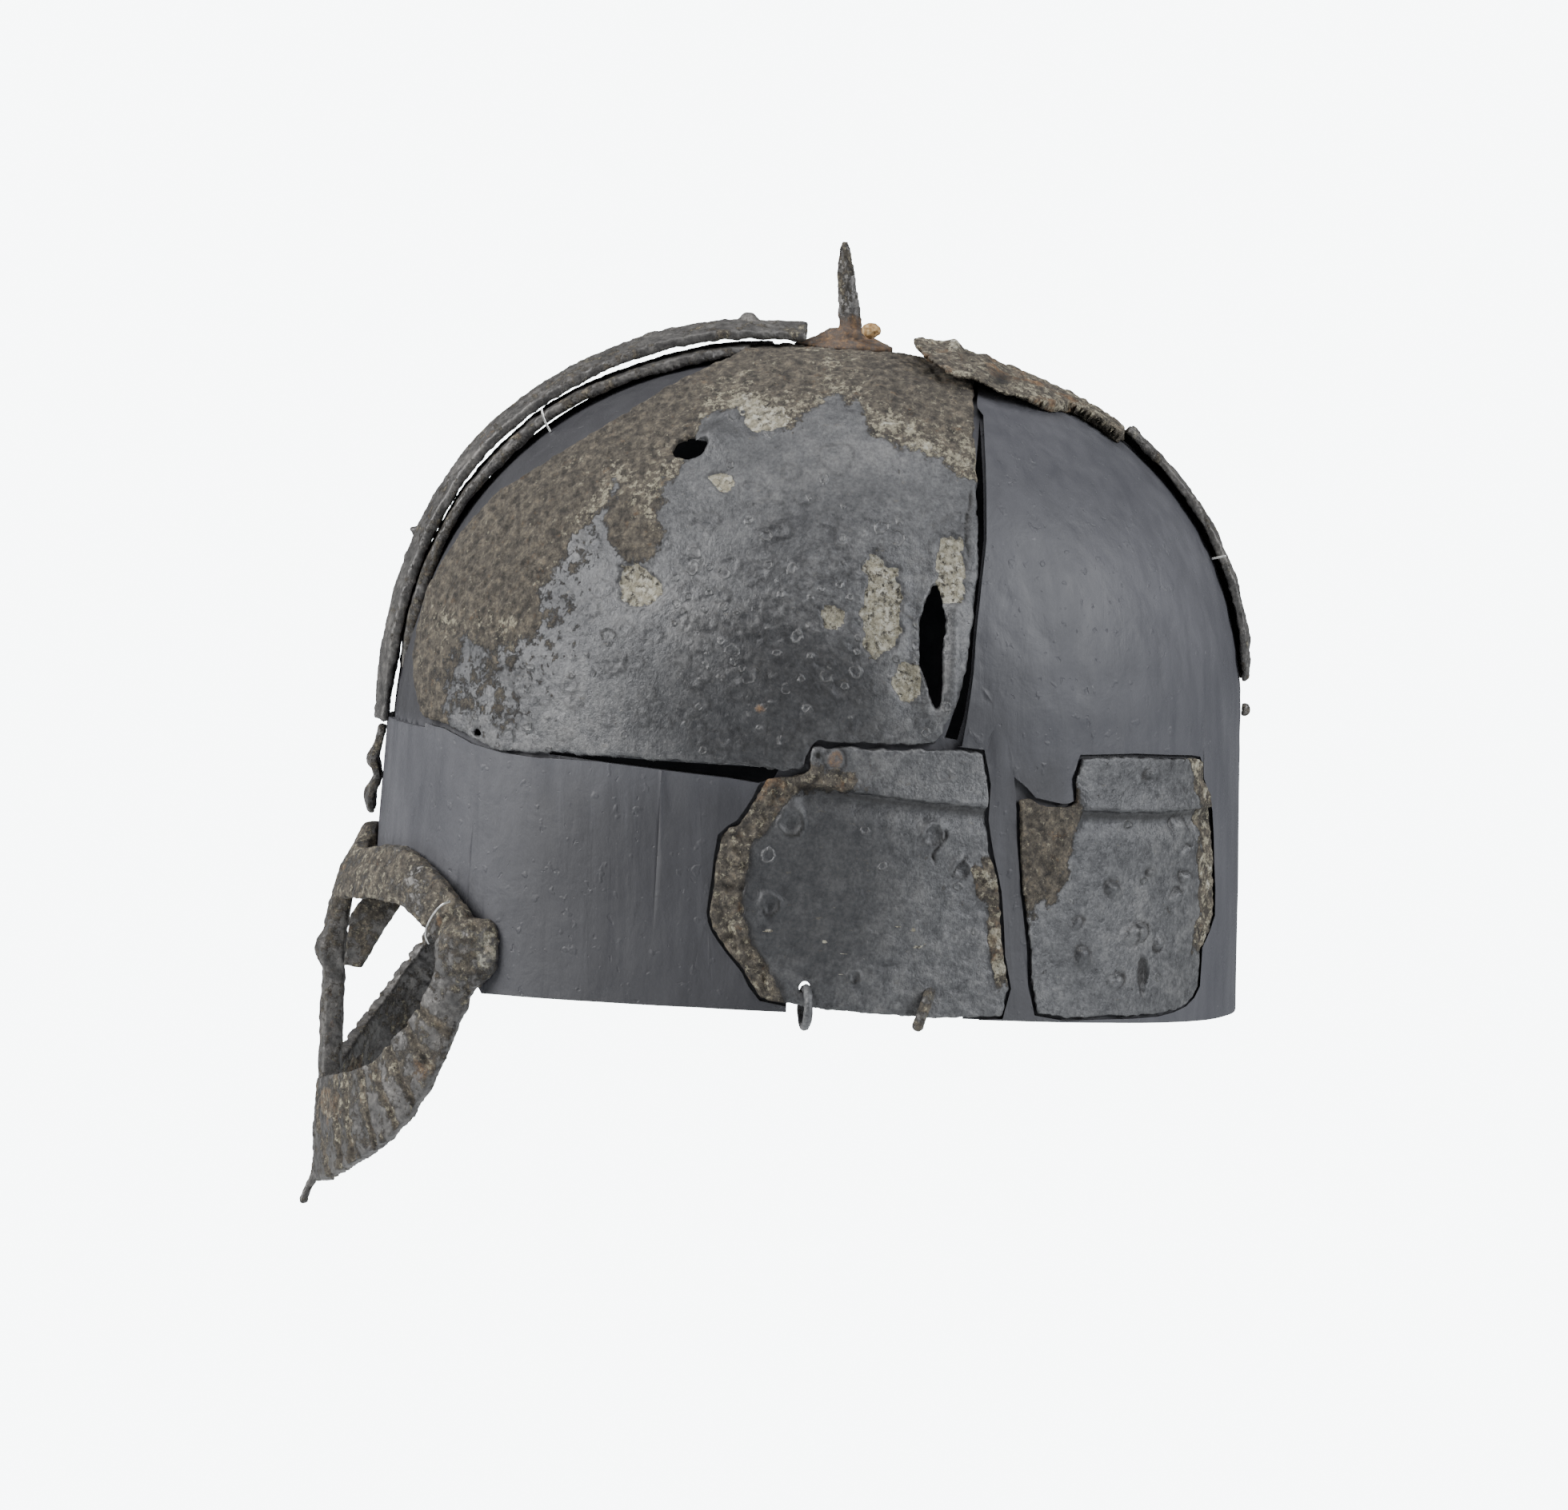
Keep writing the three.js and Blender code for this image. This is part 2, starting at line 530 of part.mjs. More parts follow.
addPart("tie_wire_rear", rearTie(), ...WIRE);
addPart("tie_wire_temple", templeTie(), ...WIRE);
addPart("mail_ring", mailRing(RING_HOLES[0]), ...IRON);
addPart("mail_ring_broken", brokenRing(RING_HOLES[1]), ...RUSTY);

export default group;
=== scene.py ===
import math

import bpy
import bmesh
import numpy as np
from mathutils import Matrix, Vector


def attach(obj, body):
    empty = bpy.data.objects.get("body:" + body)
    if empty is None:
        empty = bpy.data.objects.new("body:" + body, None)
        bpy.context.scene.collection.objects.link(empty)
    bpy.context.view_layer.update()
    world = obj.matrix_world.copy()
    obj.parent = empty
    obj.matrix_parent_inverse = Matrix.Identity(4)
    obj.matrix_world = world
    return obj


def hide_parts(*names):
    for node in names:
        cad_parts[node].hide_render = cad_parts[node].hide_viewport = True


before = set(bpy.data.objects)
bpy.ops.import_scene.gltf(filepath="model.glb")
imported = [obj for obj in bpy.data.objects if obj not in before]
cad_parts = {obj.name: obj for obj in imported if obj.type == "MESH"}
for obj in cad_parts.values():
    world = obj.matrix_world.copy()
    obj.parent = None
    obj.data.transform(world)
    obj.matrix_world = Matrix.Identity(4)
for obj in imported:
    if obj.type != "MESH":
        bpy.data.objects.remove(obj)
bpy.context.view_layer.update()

# Norse iron helmet: the surviving iron on its moulded support, in metres.
# Sculpting works in millimetres; MM turns them into metres. -Y is the face, +X the wearer's left.
MM = 0.001

# The helmet's own form, as in the part: seat level of the support, and levels outwards from it.
HALF_LENGTH = 105.2
HALF_WIDTH = 89.2
BAND_TOP = 60.0
DOME_RISE = 98.2
APEX_SHIFT = 10.0
FLARE = 2.0
SHELL_FACE = 1.6
PLATE_FACE = 2.35

# Faces of the support below this level belong to its hollow.
HOLLOW_LEVEL = -1.2

# Where the near mail ring hangs (out, along), and how far it swings there.
RING_HOLE = (89.5, 0.2)
RING_SWING = math.radians(10.0)

# The camera's distance and the width of its view there, in metres.
CAMERA_DISTANCE = 2.5
VIEW_WIDTH = 0.392

# The backdrop as the camera sees it.
BACKDROP = (0.9, 0.95, 0.965)
BACKDROP_GLOW = 9.0


# ---- camera, light and floor ---------------------------------------------------------------------

def make_camera():
    aim = Vector((0.0, -7.2, 58.3)) * MM
    elevation, roll = math.radians(4.2), math.radians(2.65)
    back = Vector((math.cos(elevation), 0.0, math.sin(elevation)))
    level = Vector((0.0, 1.0, 0.0))
    upright = level.cross(-back).normalized()
    right = math.cos(roll) * level + math.sin(roll) * upright
    up = math.cos(roll) * upright - math.sin(roll) * level
    pose = Matrix((right, up, back)).transposed().to_4x4()
    pose.translation = aim + CAMERA_DISTANCE * back
    data = bpy.data.cameras.new("side_camera")
    data.sensor_width = 36.0
    data.lens = data.sensor_width * CAMERA_DISTANCE / VIEW_WIDTH
    camera = bpy.data.objects.new("side_camera", data)
    camera.matrix_world = pose
    bpy.context.scene.collection.objects.link(camera)
    bpy.context.scene.camera = camera


def add_softbox(name, place, size, power, tint=(1.0, 1.0, 1.0)):
    data = bpy.data.lights.new(name, "AREA")
    data.shape = "RECTANGLE"
    data.size, data.size_y = size
    data.energy = power
    data.color = tint
    lamp = bpy.data.objects.new(name, data)
    lamp.location = place
    aim = Vector((0.0, 0.0, 0.06)) - Vector(place)
    lamp.rotation_euler = aim.to_track_quat("-Z", "Y").to_euler()
    bpy.context.scene.collection.objects.link(lamp)


def make_light():
    add_softbox("front_softbox", (0.4, -1.8, 1.0), (1.1, 1.3), 64.0, (1.0, 0.995, 0.985))
    add_softbox("rear_softbox", (0.75, 1.65, 1.0), (1.1, 1.3), 44.0, (0.965, 0.98, 1.0))
    add_softbox("top_softbox", (0.1, -0.1, 1.8), (1.0, 1.0), 16.0)
    world = bpy.data.worlds.new("pale_studio")
    world.use_nodes = True
    bpy.context.scene.world = world
    tree = world.node_tree
    background = tree.nodes["Background"]
    ray = add(tree, "ShaderNodeLightPath")
    strength = add(tree, "ShaderNodeMapRange", {
        "Value": ray.outputs["Is Camera Ray"], "To Min": 0.24, "To Max": BACKDROP_GLOW})
    seen = blend(tree, ray.outputs["Is Camera Ray"], (0.97, 0.98, 1.0), BACKDROP)
    tree.links.new(seen, background.inputs["Color"])
    tree.links.new(strength.outputs["Result"], background.inputs["Strength"])


def make_floor():
    bpy.ops.mesh.primitive_circle_add(vertices=96, radius=60.0, fill_type="NGON",
                                      location=(0.0, 0.0, -0.42))
    floor = bpy.context.object
    floor.name = "pale_floor"
    bpy.ops.object.transform_apply(location=True)
    material = bpy.data.materials.new("pale_floor")
    material.use_nodes = True
    tree = material.node_tree
    paint = tree.nodes["Principled BSDF"]
    paint.inputs["Base Color"].default_value = (0.8, 0.82, 0.83, 1.0)
    paint.inputs["Roughness"].default_value = 0.9
    glow = add(tree, "ShaderNodeEmission", {"Color": (*BACKDROP, 1.0), "Strength": BACKDROP_GLOW})
    ray = add(tree, "ShaderNodeLightPath")
    mix = add(tree, "ShaderNodeMixShader", {
        0: ray.outputs["Is Camera Ray"], 1: paint.outputs["BSDF"], 2: glow.outputs["Emission"]})
    tree.links.new(mix.outputs["Shader"], tree.nodes["Material Output"].inputs["Surface"])
    floor.data.materials.append(material)


# ---- shader nodes --------------------------------------------------------------------------------

def add(tree, kind, inputs=None, **settings):
    node = tree.nodes.new(kind)
    for key, value in settings.items():
        setattr(node, key, value)
    for key, value in (inputs or {}).items():
        if isinstance(value, bpy.types.NodeSocket):
            tree.links.new(value, node.inputs[key])
        else:
            node.inputs[key].default_value = value
    return node


def noise(tree, vector, size, detail=6.0, roughness=0.6, distortion=0.0):
    """A noise value whose blotches are about size millimetres across."""
    node = add(tree, "ShaderNodeTexNoise", {
        "Vector": vector, "Scale": 1000.0 / size, "Detail": detail,
        "Roughness": roughness, "Distortion": distortion})
    return node.outputs["Fac"]


def ramp(tree, value, *stops):
    """A colour ramp; a stop is (position, colour) and a single number is a grey."""
    node = add(tree, "ShaderNodeValToRGB", {"Fac": value})
    elements = node.color_ramp.elements
    while len(elements) < len(stops):
        elements.new(1.0)
    for element, (position, colour) in zip(elements, stops):
        grey = isinstance(colour, (int, float))
        element.position = position
        element.color = (colour, colour, colour, 1.0) if grey else (*colour, 1.0)
    return node.outputs["Color"]


def maths(tree, operation, first, second=0.0, clamp=False):
    node = add(tree, "ShaderNodeMath", {0: first, 1: second}, operation=operation, use_clamp=clamp)
    return node.outputs["Value"]


def blend(tree, factor, first, second, mode="MIX"):
    node = add(tree, "ShaderNodeMix", {0: factor}, data_type="RGBA", blend_type=mode)
    for index, value in ((6, first), (7, second)):
        if isinstance(value, bpy.types.NodeSocket):
            tree.links.new(value, node.inputs[index])
        else:
            node.inputs[index].default_value = (*value, 1.0)
    return node.outputs[2]


def start_group(name, inputs, outputs):
    tree = bpy.data.node_groups.new(name, "ShaderNodeTree")
    kinds = {"Vector": "NodeSocketVector", "Colour": "NodeSocketColor"}
    for socket, default in inputs:
        made = tree.interface.new_socket(socket, in_out="INPUT",
                                         socket_type=kinds.get(socket, "NodeSocketFloat"))
        if default is not None:
            made.default_value = default
    for socket in outputs:
        tree.interface.new_socket(socket, in_out="OUTPUT",
                                  socket_type=kinds.get(socket, "NodeSocketFloat"))
    return tree, tree.nodes.new("NodeGroupInput"), tree.nodes.new("NodeGroupOutput")


def close_group(tree, group_out, results):
    for socket, value in results.items():
        tree.links.new(value, group_out.inputs[socket])
    return tree


def make_crust_group():
    """Brown corrosion crust: granular, with ochre hollows and pale flecks."""
    tree, given, result = start_group("corrosion_crust", [("Vector", None), ("Flecks", 0.5)],
                                      ["Colour", "Height"])
    vector = given.outputs["Vector"]
    lumps = noise(tree, vector, 2.4, 9.0, 0.74)
    grains = noise(tree, vector, 0.8, 6.0, 0.75)
    colour = ramp(tree, lumps, (0.36, (0.017, 0.0145, 0.012)), (0.46, (0.055, 0.047, 0.037)),
                  (0.55, (0.105, 0.091, 0.07)), (0.66, (0.19, 0.157, 0.112)))
    ochre = ramp(tree, noise(tree, vector, 2.6, 6.0, 0.7), (0.6, 0.0), (0.7, 1.0))
    colour = blend(tree, maths(tree, "MULTIPLY", ochre, 0.5), colour, (0.17, 0.095, 0.04))
    spread = maths(tree, "ADD", noise(tree, vector, 1.9, 7.0, 0.8),
                   maths(tree, "MULTIPLY", given.outputs["Flecks"], 0.26))
    pale = ramp(tree, spread, (0.61, 0.0), (0.67, 1.0))
    colour = blend(tree, maths(tree, "MULTIPLY", pale, 0.85), colour, (0.36, 0.33, 0.24))
    colour = blend(tree, 0.7, colour, ramp(tree, grains, (0.34, 0.3), (0.66, 1.5)), "MULTIPLY")
    height = maths(tree, "ADD", lumps, maths(tree, "MULTIPLY", grains, 0.6))
    return close_group(tree, result, {"Colour": colour, "Height": height})


def make_skin_group():
    """Consolidated iron surface: blue-grey, mottled, with fine scratches and pits."""
    tree, given, result = start_group("iron_skin", [("Vector", None)],
                                      ["Colour", "Roughness", "Height"])
    vector = given.outputs["Vector"]
    clouds = noise(tree, vector, 26.0, 5.0, 0.6)
    mottle = noise(tree, vector, 3.6, 9.0, 0.68)
    fine = noise(tree, vector, 0.9, 4.0, 0.65)
    mixed = maths(tree, "ADD", maths(tree, "MULTIPLY", clouds, 0.45), maths(tree, "MULTIPLY", mottle, 0.55))
    colour = ramp(tree, mixed, (0.38, (0.062, 0.064, 0.069)), (0.5, (0.108, 0.111, 0.117)),
                  (0.62, (0.17, 0.172, 0.176)))
    colour = blend(tree, 0.5, colour, ramp(tree, fine, (0.34, 0.6), (0.66, 1.3)), "MULTIPLY")
    rough = ramp(tree, mottle, (0.36, 0.36), (0.64, 0.54))
    height = maths(tree, "ADD", maths(tree, "MULTIPLY", mottle, 0.4), maths(tree, "MULTIPLY", fine, 0.16))
    return close_group(tree, result, {"Colour": colour, "Roughness": rough, "Height": height})


def make_blister_group():
    """Small ring-shaped corrosion blisters, as thin raised rings of many sizes."""
    tree, given, result = start_group("ring_blisters", [("Vector", None), ("Size", 4.6), ("Density", 0.5)],
                                      ["Ring", "Cap"])
    wander = add(tree, "ShaderNodeTexNoise", {
        "Vector": given.outputs["Vector"], "Scale": 420.0, "Detail": 2.0})
    shifted = add(tree, "ShaderNodeVectorMath", {0: wander.outputs["Color"], 1: (0.0016, 0.0016, 0.0016)},
                  operation="MULTIPLY")
    moved = add(tree, "ShaderNodeVectorMath", {0: given.outputs["Vector"], 1: shifted.outputs["Vector"]},
                operation="ADD")
    cells = add(tree, "ShaderNodeTexVoronoi", {
        "Vector": moved.outputs["Vector"],
        "Scale": maths(tree, "DIVIDE", 1000.0, given.outputs["Size"])})
    parts = add(tree, "ShaderNodeSeparateColor", {"Color": cells.outputs["Color"]})
    radius = maths(tree, "ADD", 0.12, maths(tree, "MULTIPLY", parts.outputs["Red"], 0.3))
    off = maths(tree, "SUBTRACT", cells.outputs["Distance"], radius)
    ring = ramp(tree, maths(tree, "ABSOLUTE", off), (0.0, 1.0), (0.075, 0.0))
    cap = ramp(tree, off, (0.0, 1.0), (0.02, 0.0))
    present = maths(tree, "LESS_THAN", parts.outputs["Green"], given.outputs["Density"])
    return close_group(tree, result, {"Ring": maths(tree, "MULTIPLY", ring, present),
                                      "Cap": maths(tree, "MULTIPLY", cap, present)})


def use_group(tree, group, inputs):
    node = tree.nodes.new("ShaderNodeGroup")
    node.node_tree = group
    for key, value in inputs.items():
        if isinstance(value, bpy.types.NodeSocket):
            tree.links.new(value, node.inputs[key])
        else:
            node.inputs[key].default_value = value
    return node


def start_material(name):
    material = bpy.data.materials.new(name)
    material.use_nodes = True
    tree = material.node_tree
    place = tree.nodes.new("ShaderNodeTexCoord").outputs["Object"]
    return material, tree, tree.nodes["Principled BSDF"], place


def painted_on(tree, name):
    """How strongly a finish was painted on the mesh, 0 to 1."""
    return add(tree, "ShaderNodeAttribute", attribute_name=name).outputs["Fac"]


def bump(tree, shader, height, strength, distance):
    node = add(tree, "ShaderNodeBump", {"Height": height, "Strength": strength, "Distance": distance * MM})
    tree.links.new(node.outputs["Normal"], shader.inputs["Normal"])


def iron_material(name, groups, crust_bias, tone, sheen, relief):
    """Iron under corrosion. The mesh carries where crust, cream deposits and rust lie."""
    crust_group, skin_group, blister_group = groups
    material, tree, shader, place = start_material(name)
    skin = use_group(tree, skin_group, {"Vector": place})
    cream_mask = painted_on(tree, "cream")
    crust = use_group(tree, crust_group, {"Vector": place, "Flecks": cream_mask})
    breakup = noise(tree, place, 3.0, 9.0, 0.74)
    lift = maths(tree, "MULTIPLY", maths(tree, "SUBTRACT", breakup, 0.5), 2.6)
    crusted = maths(tree, "ADD", maths(tree, "ADD", painted_on(tree, "crust"), lift), crust_bias)
    crusted = ramp(tree, crusted, (0.4, 0.0), (0.62, 1.0))
    colour = blend(tree, 1.0, skin.outputs["Colour"], tone, "MULTIPLY")
    # Painted shade: where the mesh is marked for it, the colour is darkened towards near-black.
    colour = blend(tree, painted_on(tree, "dark"), colour, (0.03, 0.031, 0.034))

    level_plane = add(tree, "ShaderNodeMapping", {"Vector": place, "Scale": (0.0, 1.0, 1.0)})
    blisters = use_group(tree, blister_group, {
        "Vector": level_plane.outputs["Vector"], "Size": 4.6,
        "Density": maths(tree, "MULTIPLY", painted_on(tree, "blister"), 0.85)})
    ring_height = maths(tree, "ADD", maths(tree, "MULTIPLY", blisters.outputs["Ring"], 0.34),
                        maths(tree, "MULTIPLY", blisters.outputs["Cap"], 0.16))
    # Painted highlight: the blister rings are painted lighter along their raised crests.
    colour = blend(tree, maths(tree, "MULTIPLY", blisters.outputs["Ring"], 0.25), colour, (0.2, 0.2, 0.195))

    flakes = add(tree, "ShaderNodeMapping", {"Vector": place, "Scale": (1.0, 1.0, 3.0)})
    flecks = ramp(tree, noise(tree, flakes.outputs["Vector"], 4.0, 7.0, 0.75), (0.63, 0.0), (0.7, 1.0))
    colour = blend(tree, maths(tree, "MULTIPLY", flecks, 0.45), colour, (0.17, 0.15, 0.11))
    colour = blend(tree, crusted, colour, crust.outputs["Colour"])

    grit = noise(tree, place, 1.5, 5.0, 0.72)
    cream = ramp(tree, maths(tree, "ADD", cream_mask, maths(tree, "MULTIPLY", lift, 0.22)),
                 (0.56, 0.0), (0.68, 1.0))
    pale = ramp(tree, grit, (0.42, (0.02, 0.018, 0.015)), (0.48, (0.16, 0.148, 0.118)),
                (0.56, (0.46, 0.445, 0.38)))
    dirt = ramp(tree, noise(tree, place, 2.2, 6.0, 0.7), (0.46, 0.75), (0.58, 0.0))
    pale = blend(tree, dirt, pale, crust.outputs["Colour"])
    colour = blend(tree, cream, colour, pale)
    rust = ramp(tree, maths(tree, "ADD", painted_on(tree, "rust"), maths(tree, "MULTIPLY", lift, 0.5)),
                (0.45, 0.0), (0.9, 1.0))
    rusty = ramp(tree, grit, (0.35, (0.05, 0.027, 0.013)), (0.5, (0.14, 0.075, 0.034)),
                 (0.66, (0.27, 0.17, 0.09)))
    colour = blend(tree, rust, colour, rusty)
    # Painted shade: in cracks, under lips and round the rims of blisters, pits and patches, the colour is
    # darkened to near-black.
    colour = blend(tree, painted_on(tree, "groove"), colour, (0.012, 0.011, 0.01))
    tree.links.new(colour, shader.inputs["Base Color"])

    covered = maths(tree, "MAXIMUM", crusted, maths(tree, "MAXIMUM", cream, rust))
    rough = blend(tree, covered, skin.outputs["Roughness"], (0.82, 0.82, 0.82))
    tree.links.new(rough, shader.inputs["Roughness"])
    metal = maths(tree, "MULTIPLY", maths(tree, "SUBTRACT", 1.0, covered), sheen)
    tree.links.new(metal, shader.inputs["Metallic"])
    height = maths(tree, "ADD", skin.outputs["Height"], ring_height)
    height = blend(tree, covered, height, crust.outputs["Height"])
    height = blend(tree, cream, height, grit)
    bump(tree, shader, height, 1.0, relief)
    return material


def paint_material():
    """Satin blue-grey paint over moulded resin, brushed upright, with small bumps and pits."""
    material, tree, shader, place = start_material("support_paint")
    stretched = add(tree, "ShaderNodeMapping", {"Vector": place, "Scale": (1.0, 1.0, 0.16)})
    streaks = noise(tree, stretched.outputs["Vector"], 4.5, 5.0, 0.55, 0.5)
    broad = noise(tree, place, 40.0, 4.0, 0.5)
    hand = noise(tree, place, 9.0, 4.0, 0.55, 0.3)
    mixed = maths(tree, "ADD", maths(tree, "MULTIPLY", streaks, 0.35), maths(tree, "MULTIPLY", broad, 0.65))
    colour = ramp(tree, mixed, (0.36, (0.05, 0.051, 0.06)), (0.52, (0.066, 0.067, 0.077)),
                  (0.66, (0.088, 0.089, 0.1)))
    specks = ramp(tree, noise(tree, place, 2.0, 2.0, 0.5), (0.73, 0.0), (0.77, 1.0))
    colour = blend(tree, maths(tree, "MULTIPLY", specks, 0.3), colour, (0.2, 0.2, 0.21))
    # Painted shade: where the mesh is marked for it, the paint is darkened towards near-black.
    colour = blend(tree, painted_on(tree, "dark"), colour, (0.018, 0.018, 0.021))
    tree.links.new(colour, shader.inputs["Base Color"])
    tree.links.new(ramp(tree, streaks, (0.35, 0.5), (0.65, 0.6)), shader.inputs["Roughness"])
    bumps = ramp(tree, noise(tree, place, 3.2, 2.0, 0.4), (0.66, 0.0), (0.74, 1.0))
    pits = ramp(tree, noise(tree, place, 2.4, 2.0, 0.4, 0.3), (0.24, 0.0), (0.3, 1.0))
    height = maths(tree, "ADD", maths(tree, "MULTIPLY", streaks, 0.35), maths(tree, "MULTIPLY", hand, 0.8))
    height = maths(tree, "ADD", height, maths(tree, "MULTIPLY", maths(tree, "ADD", bumps, pits), 0.25))
    bump(tree, shader, height, 0.6, 0.9)
    return material


def hollow_material():
    """Flat paint on the inside of the support, made near-black as painted shade so that the holes look black.
    """
    material, tree, shader, place = start_material("hollow_dark_paint")
    tone = ramp(tree, noise(tree, place, 12.0, 3.0), (0.35, (0.004, 0.004, 0.005)),
                (0.65, (0.009, 0.009, 0.01)))
    tree.links.new(tone, shader.inputs["Base Color"])
    shader.inputs["Roughness"].default_value = 0.95
    shader.inputs["Specular IOR Level"].default_value = 0.05
    return material


def wire_material():
    material, tree, shader, place = start_material("bright_tie_wire")
    tone = ramp(tree, noise(tree, place, 1.5, 3.0), (0.35, (0.4, 0.4, 0.39)), (0.65, (0.7, 0.7, 0.68)))
    tree.links.new(tone, shader.inputs["Base Color"])
    shader.inputs["Metallic"].default_value = 1.0
    shader.inputs["Roughness"].default_value = 0.3
    return material


def packing_material():
    material, tree, shader, place = start_material("ochre_packing")
    tone = ramp(tree, noise(tree, place, 1.2, 6.0), (0.35, (0.16, 0.08, 0.025)), (0.5, (0.4, 0.24, 0.1)),
                (0.66, (0.62, 0.45, 0.24)))
    tree.links.new(tone, shader.inputs["Base Color"])
    shader.inputs["Roughness"].default_value = 0.9
    bump(tree, shader, noise(tree, place, 1.0, 6.0), 1.0, 0.6)
    return material


# ---- sculpting tools -----------------------------------------------------------------------------

def lattice(ix, iy, iz, seed):
    mixed = ix * 374761393 + iy * 668265263 + iz * 1274126177 + seed * 974634777
    mixed = (mixed ^ (mixed >> 13)) * 1103515245 & 0x7FFFFFFF
    return ((mixed ^ (mixed >> 16)) & 0xFFFF) / 32767.5 - 1.0


def grain(points, size, octaves=3, seed=0):
    """Smooth value noise between -1 and 1, with lumps about size millimetres across."""
    total, weight = np.zeros(len(points)), 0.0
    for octave in range(octaves):
        scaled = points / (size * 0.5 ** octave)
        cell = np.floor(scaled).astype(np.int64)
        part = scaled - cell
        part = part * part * (3.0 - 2.0 * part)
        value = np.zeros(len(points))
        for corner in range(8):
            dx, dy, dz = corner & 1, corner >> 1 & 1, corner >> 2
            share = (np.where(dx, part[:, 0], 1 - part[:, 0]) * np.where(dy, part[:, 1], 1 - part[:, 1])
                     * np.where(dz, part[:, 2], 1 - part[:, 2]))
            value += share * lattice(cell[:, 0] + dx, cell[:, 1] + dy, cell[:, 2] + dz, seed + octave)
        total += value * 0.6 ** octave
        weight += 0.6 ** octave
    return total / weight


def smooth(low, high, value):
    part = np.clip((value - low) / (high - low), 0.0, 1.0)
    return part * part * (3.0 - 2.0 * part)


def wall_excess(points, level):
    """Below 0 inside the helmet's form at a level of its wall, 0 on it, above 0 outside."""
    x, y, z = points.T
    rise = np.clip((z - BAND_TOP) / (DOME_RISE + level), 0.0, 1.3)
    flare = np.where(z < BAND_TOP, FLARE * (BAND_TOP - z) / BAND_TOP, 0.0)
    across = x / (HALF_WIDTH + level + flare)
    ahead = -(y + APEX_SHIFT * rise * rise) / (HALF_LENGTH + level + flare)
    spread = np.hypot(across, ahead)
    behind = (1.0 - ahead / np.maximum(spread, 1e-9)) / 2.0
    power = 2.0 + 0.8 * np.clip(behind, 0.0, 1.0) ** 1.3
    dome = (spread ** power + rise ** power) ** (1.0 / power) - 1.0
    return np.where(z < BAND_TOP, spread - 1.0, dome)


def wall_level(points):
    """The level of each point, in millimetres outwards from the support's seat."""
    level = np.zeros(len(points))
    for _ in range(6):
        here = wall_excess(points, level)
        slope = (wall_excess(points, level + 0.5) - here) / 0.5
        level = np.clip(level - here / np.minimum(slope, -1e-4), -6.0, 14.0)
    return level


def wall_outward(points, level):
    """The wall's outward direction at each point."""
    step = 0.2
    slopes = [wall_excess(points + np.eye(3)[axis] * step, level)
              - wall_excess(points - np.eye(3)[axis] * step, level) for axis in range(3)]
    direction = np.array(slopes).T
    return direction / np.maximum(np.linalg.norm(direction, axis=1, keepdims=True), 1e-12)


def copy_of(name, *nodes):
    """One new mesh from CAD nodes, their loose triangles merged."""
    built = bmesh.new()
    for node in nodes:
        built.from_mesh(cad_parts[node].data)
    bmesh.ops.remove_doubles(built, verts=built.verts, dist=1e-6)
    mesh = bpy.data.meshes.new(name)
    built.to_mesh(mesh)
    built.free()
    piece = bpy.data.objects.new(name, mesh)
    bpy.context.scene.collection.objects.link(piece)
    return piece


def take_up(piece):
    bpy.ops.object.select_all(action="DESELECT")
    piece.select_set(True)
    bpy.context.view_layer.objects.active = piece


def finish_with(piece, kind, **settings):
    """Adds a modifier and applies it."""
    take_up(piece)
    modifier = piece.modifiers.new(kind.lower(), kind)
    for key, value in settings.items():
        setattr(modifier, key, value)
    bpy.ops.object.modifier_apply(modifier=modifier.name)


def points_of(piece):
    flat = np.empty(len(piece.data.vertices) * 3)
    piece.data.vertices.foreach_get("co", flat)
    return flat.reshape(-1, 3) / MM


def normals_of(piece):
    flat = np.empty(len(piece.data.vertices) * 3, np.float32)
    piece.data.vertex_normals.foreach_get("vector", flat)
    return flat.reshape(-1, 3).astype(float)


def move_to(piece, points):
    piece.data.vertices.foreach_set("co", (points * MM).ravel())
    piece.data.update()


def paint_on(piece, **masks):
    """Stores 0-to-1 values on the mesh, for its material to read."""
    for name, values in masks.items():
        layer = piece.data.attributes.new(name, "FLOAT", "POINT")
        layer.data.foreach_set("value", np.clip(values, 0.0, 1.0).astype(np.float32))


def deliver(piece, material, slot, *nodes):
    piece.data.materials.clear()
    piece.data.materials.append(material)
    piece.data.polygons.foreach_set("use_smooth", [True] * len(piece.data.polygons))
    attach(piece, "root")
    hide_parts(*nodes)


def side_distance(points, centre, stretch=(1.0, 1.0)):
    """Distance from a place in the side view, [y, z], with each axis shortened by its stretch."""
    return np.hypot((points[:, 1] - centre[0]) / stretch[0], (points[:, 2] - centre[1]) / stretch[1])


def height_above(points, line):
    """How far each point lies above a line through [y, z] places, in the side view."""
    y, z = np.array(line, float).T
    return points[:, 2] - np.interp(points[:, 1], y, z)


def blisters(points, places, seed):
    """Ring-shaped blisters: a low ridge round each place, with the middle a little sunken, and a ring of
    painted shade just outside the ridge.
    """
    relief, edge = np.zeros(len(points)), np.zeros(len(points))
    rough = np.random.default_rng(seed)
    for centre_y, centre_z, width in places:
        oval = 1.0 + 0.3 * rough.random()
        near = np.flatnonzero(side_distance(points, (centre_y, centre_z)) < width * 1.4 + 1.0)
        if not len(near):
            continue
        away = side_distance(points[near], (centre_y, centre_z), (oval, 1.0 / oval))
        wobble = 1.0 + 0.16 * np.sin(3.0 * np.arctan2(points[near, 2] - centre_z, points[near, 1] - centre_y)
                                     + 6.0 * rough.random())
        radius = width / 2.0 * wobble
        ridge = np.exp(-((away - radius) / 0.45) ** 2)
        relief[near] += 0.3 * ridge - 0.16 * smooth(radius, radius * 0.6, away)
        edge[near] = np.maximum(edge[near], np.exp(-((away - radius - 0.75) / 0.35) ** 2))
    return relief, edge


# ---- iron plates -----------------------------------------------------------------------------------

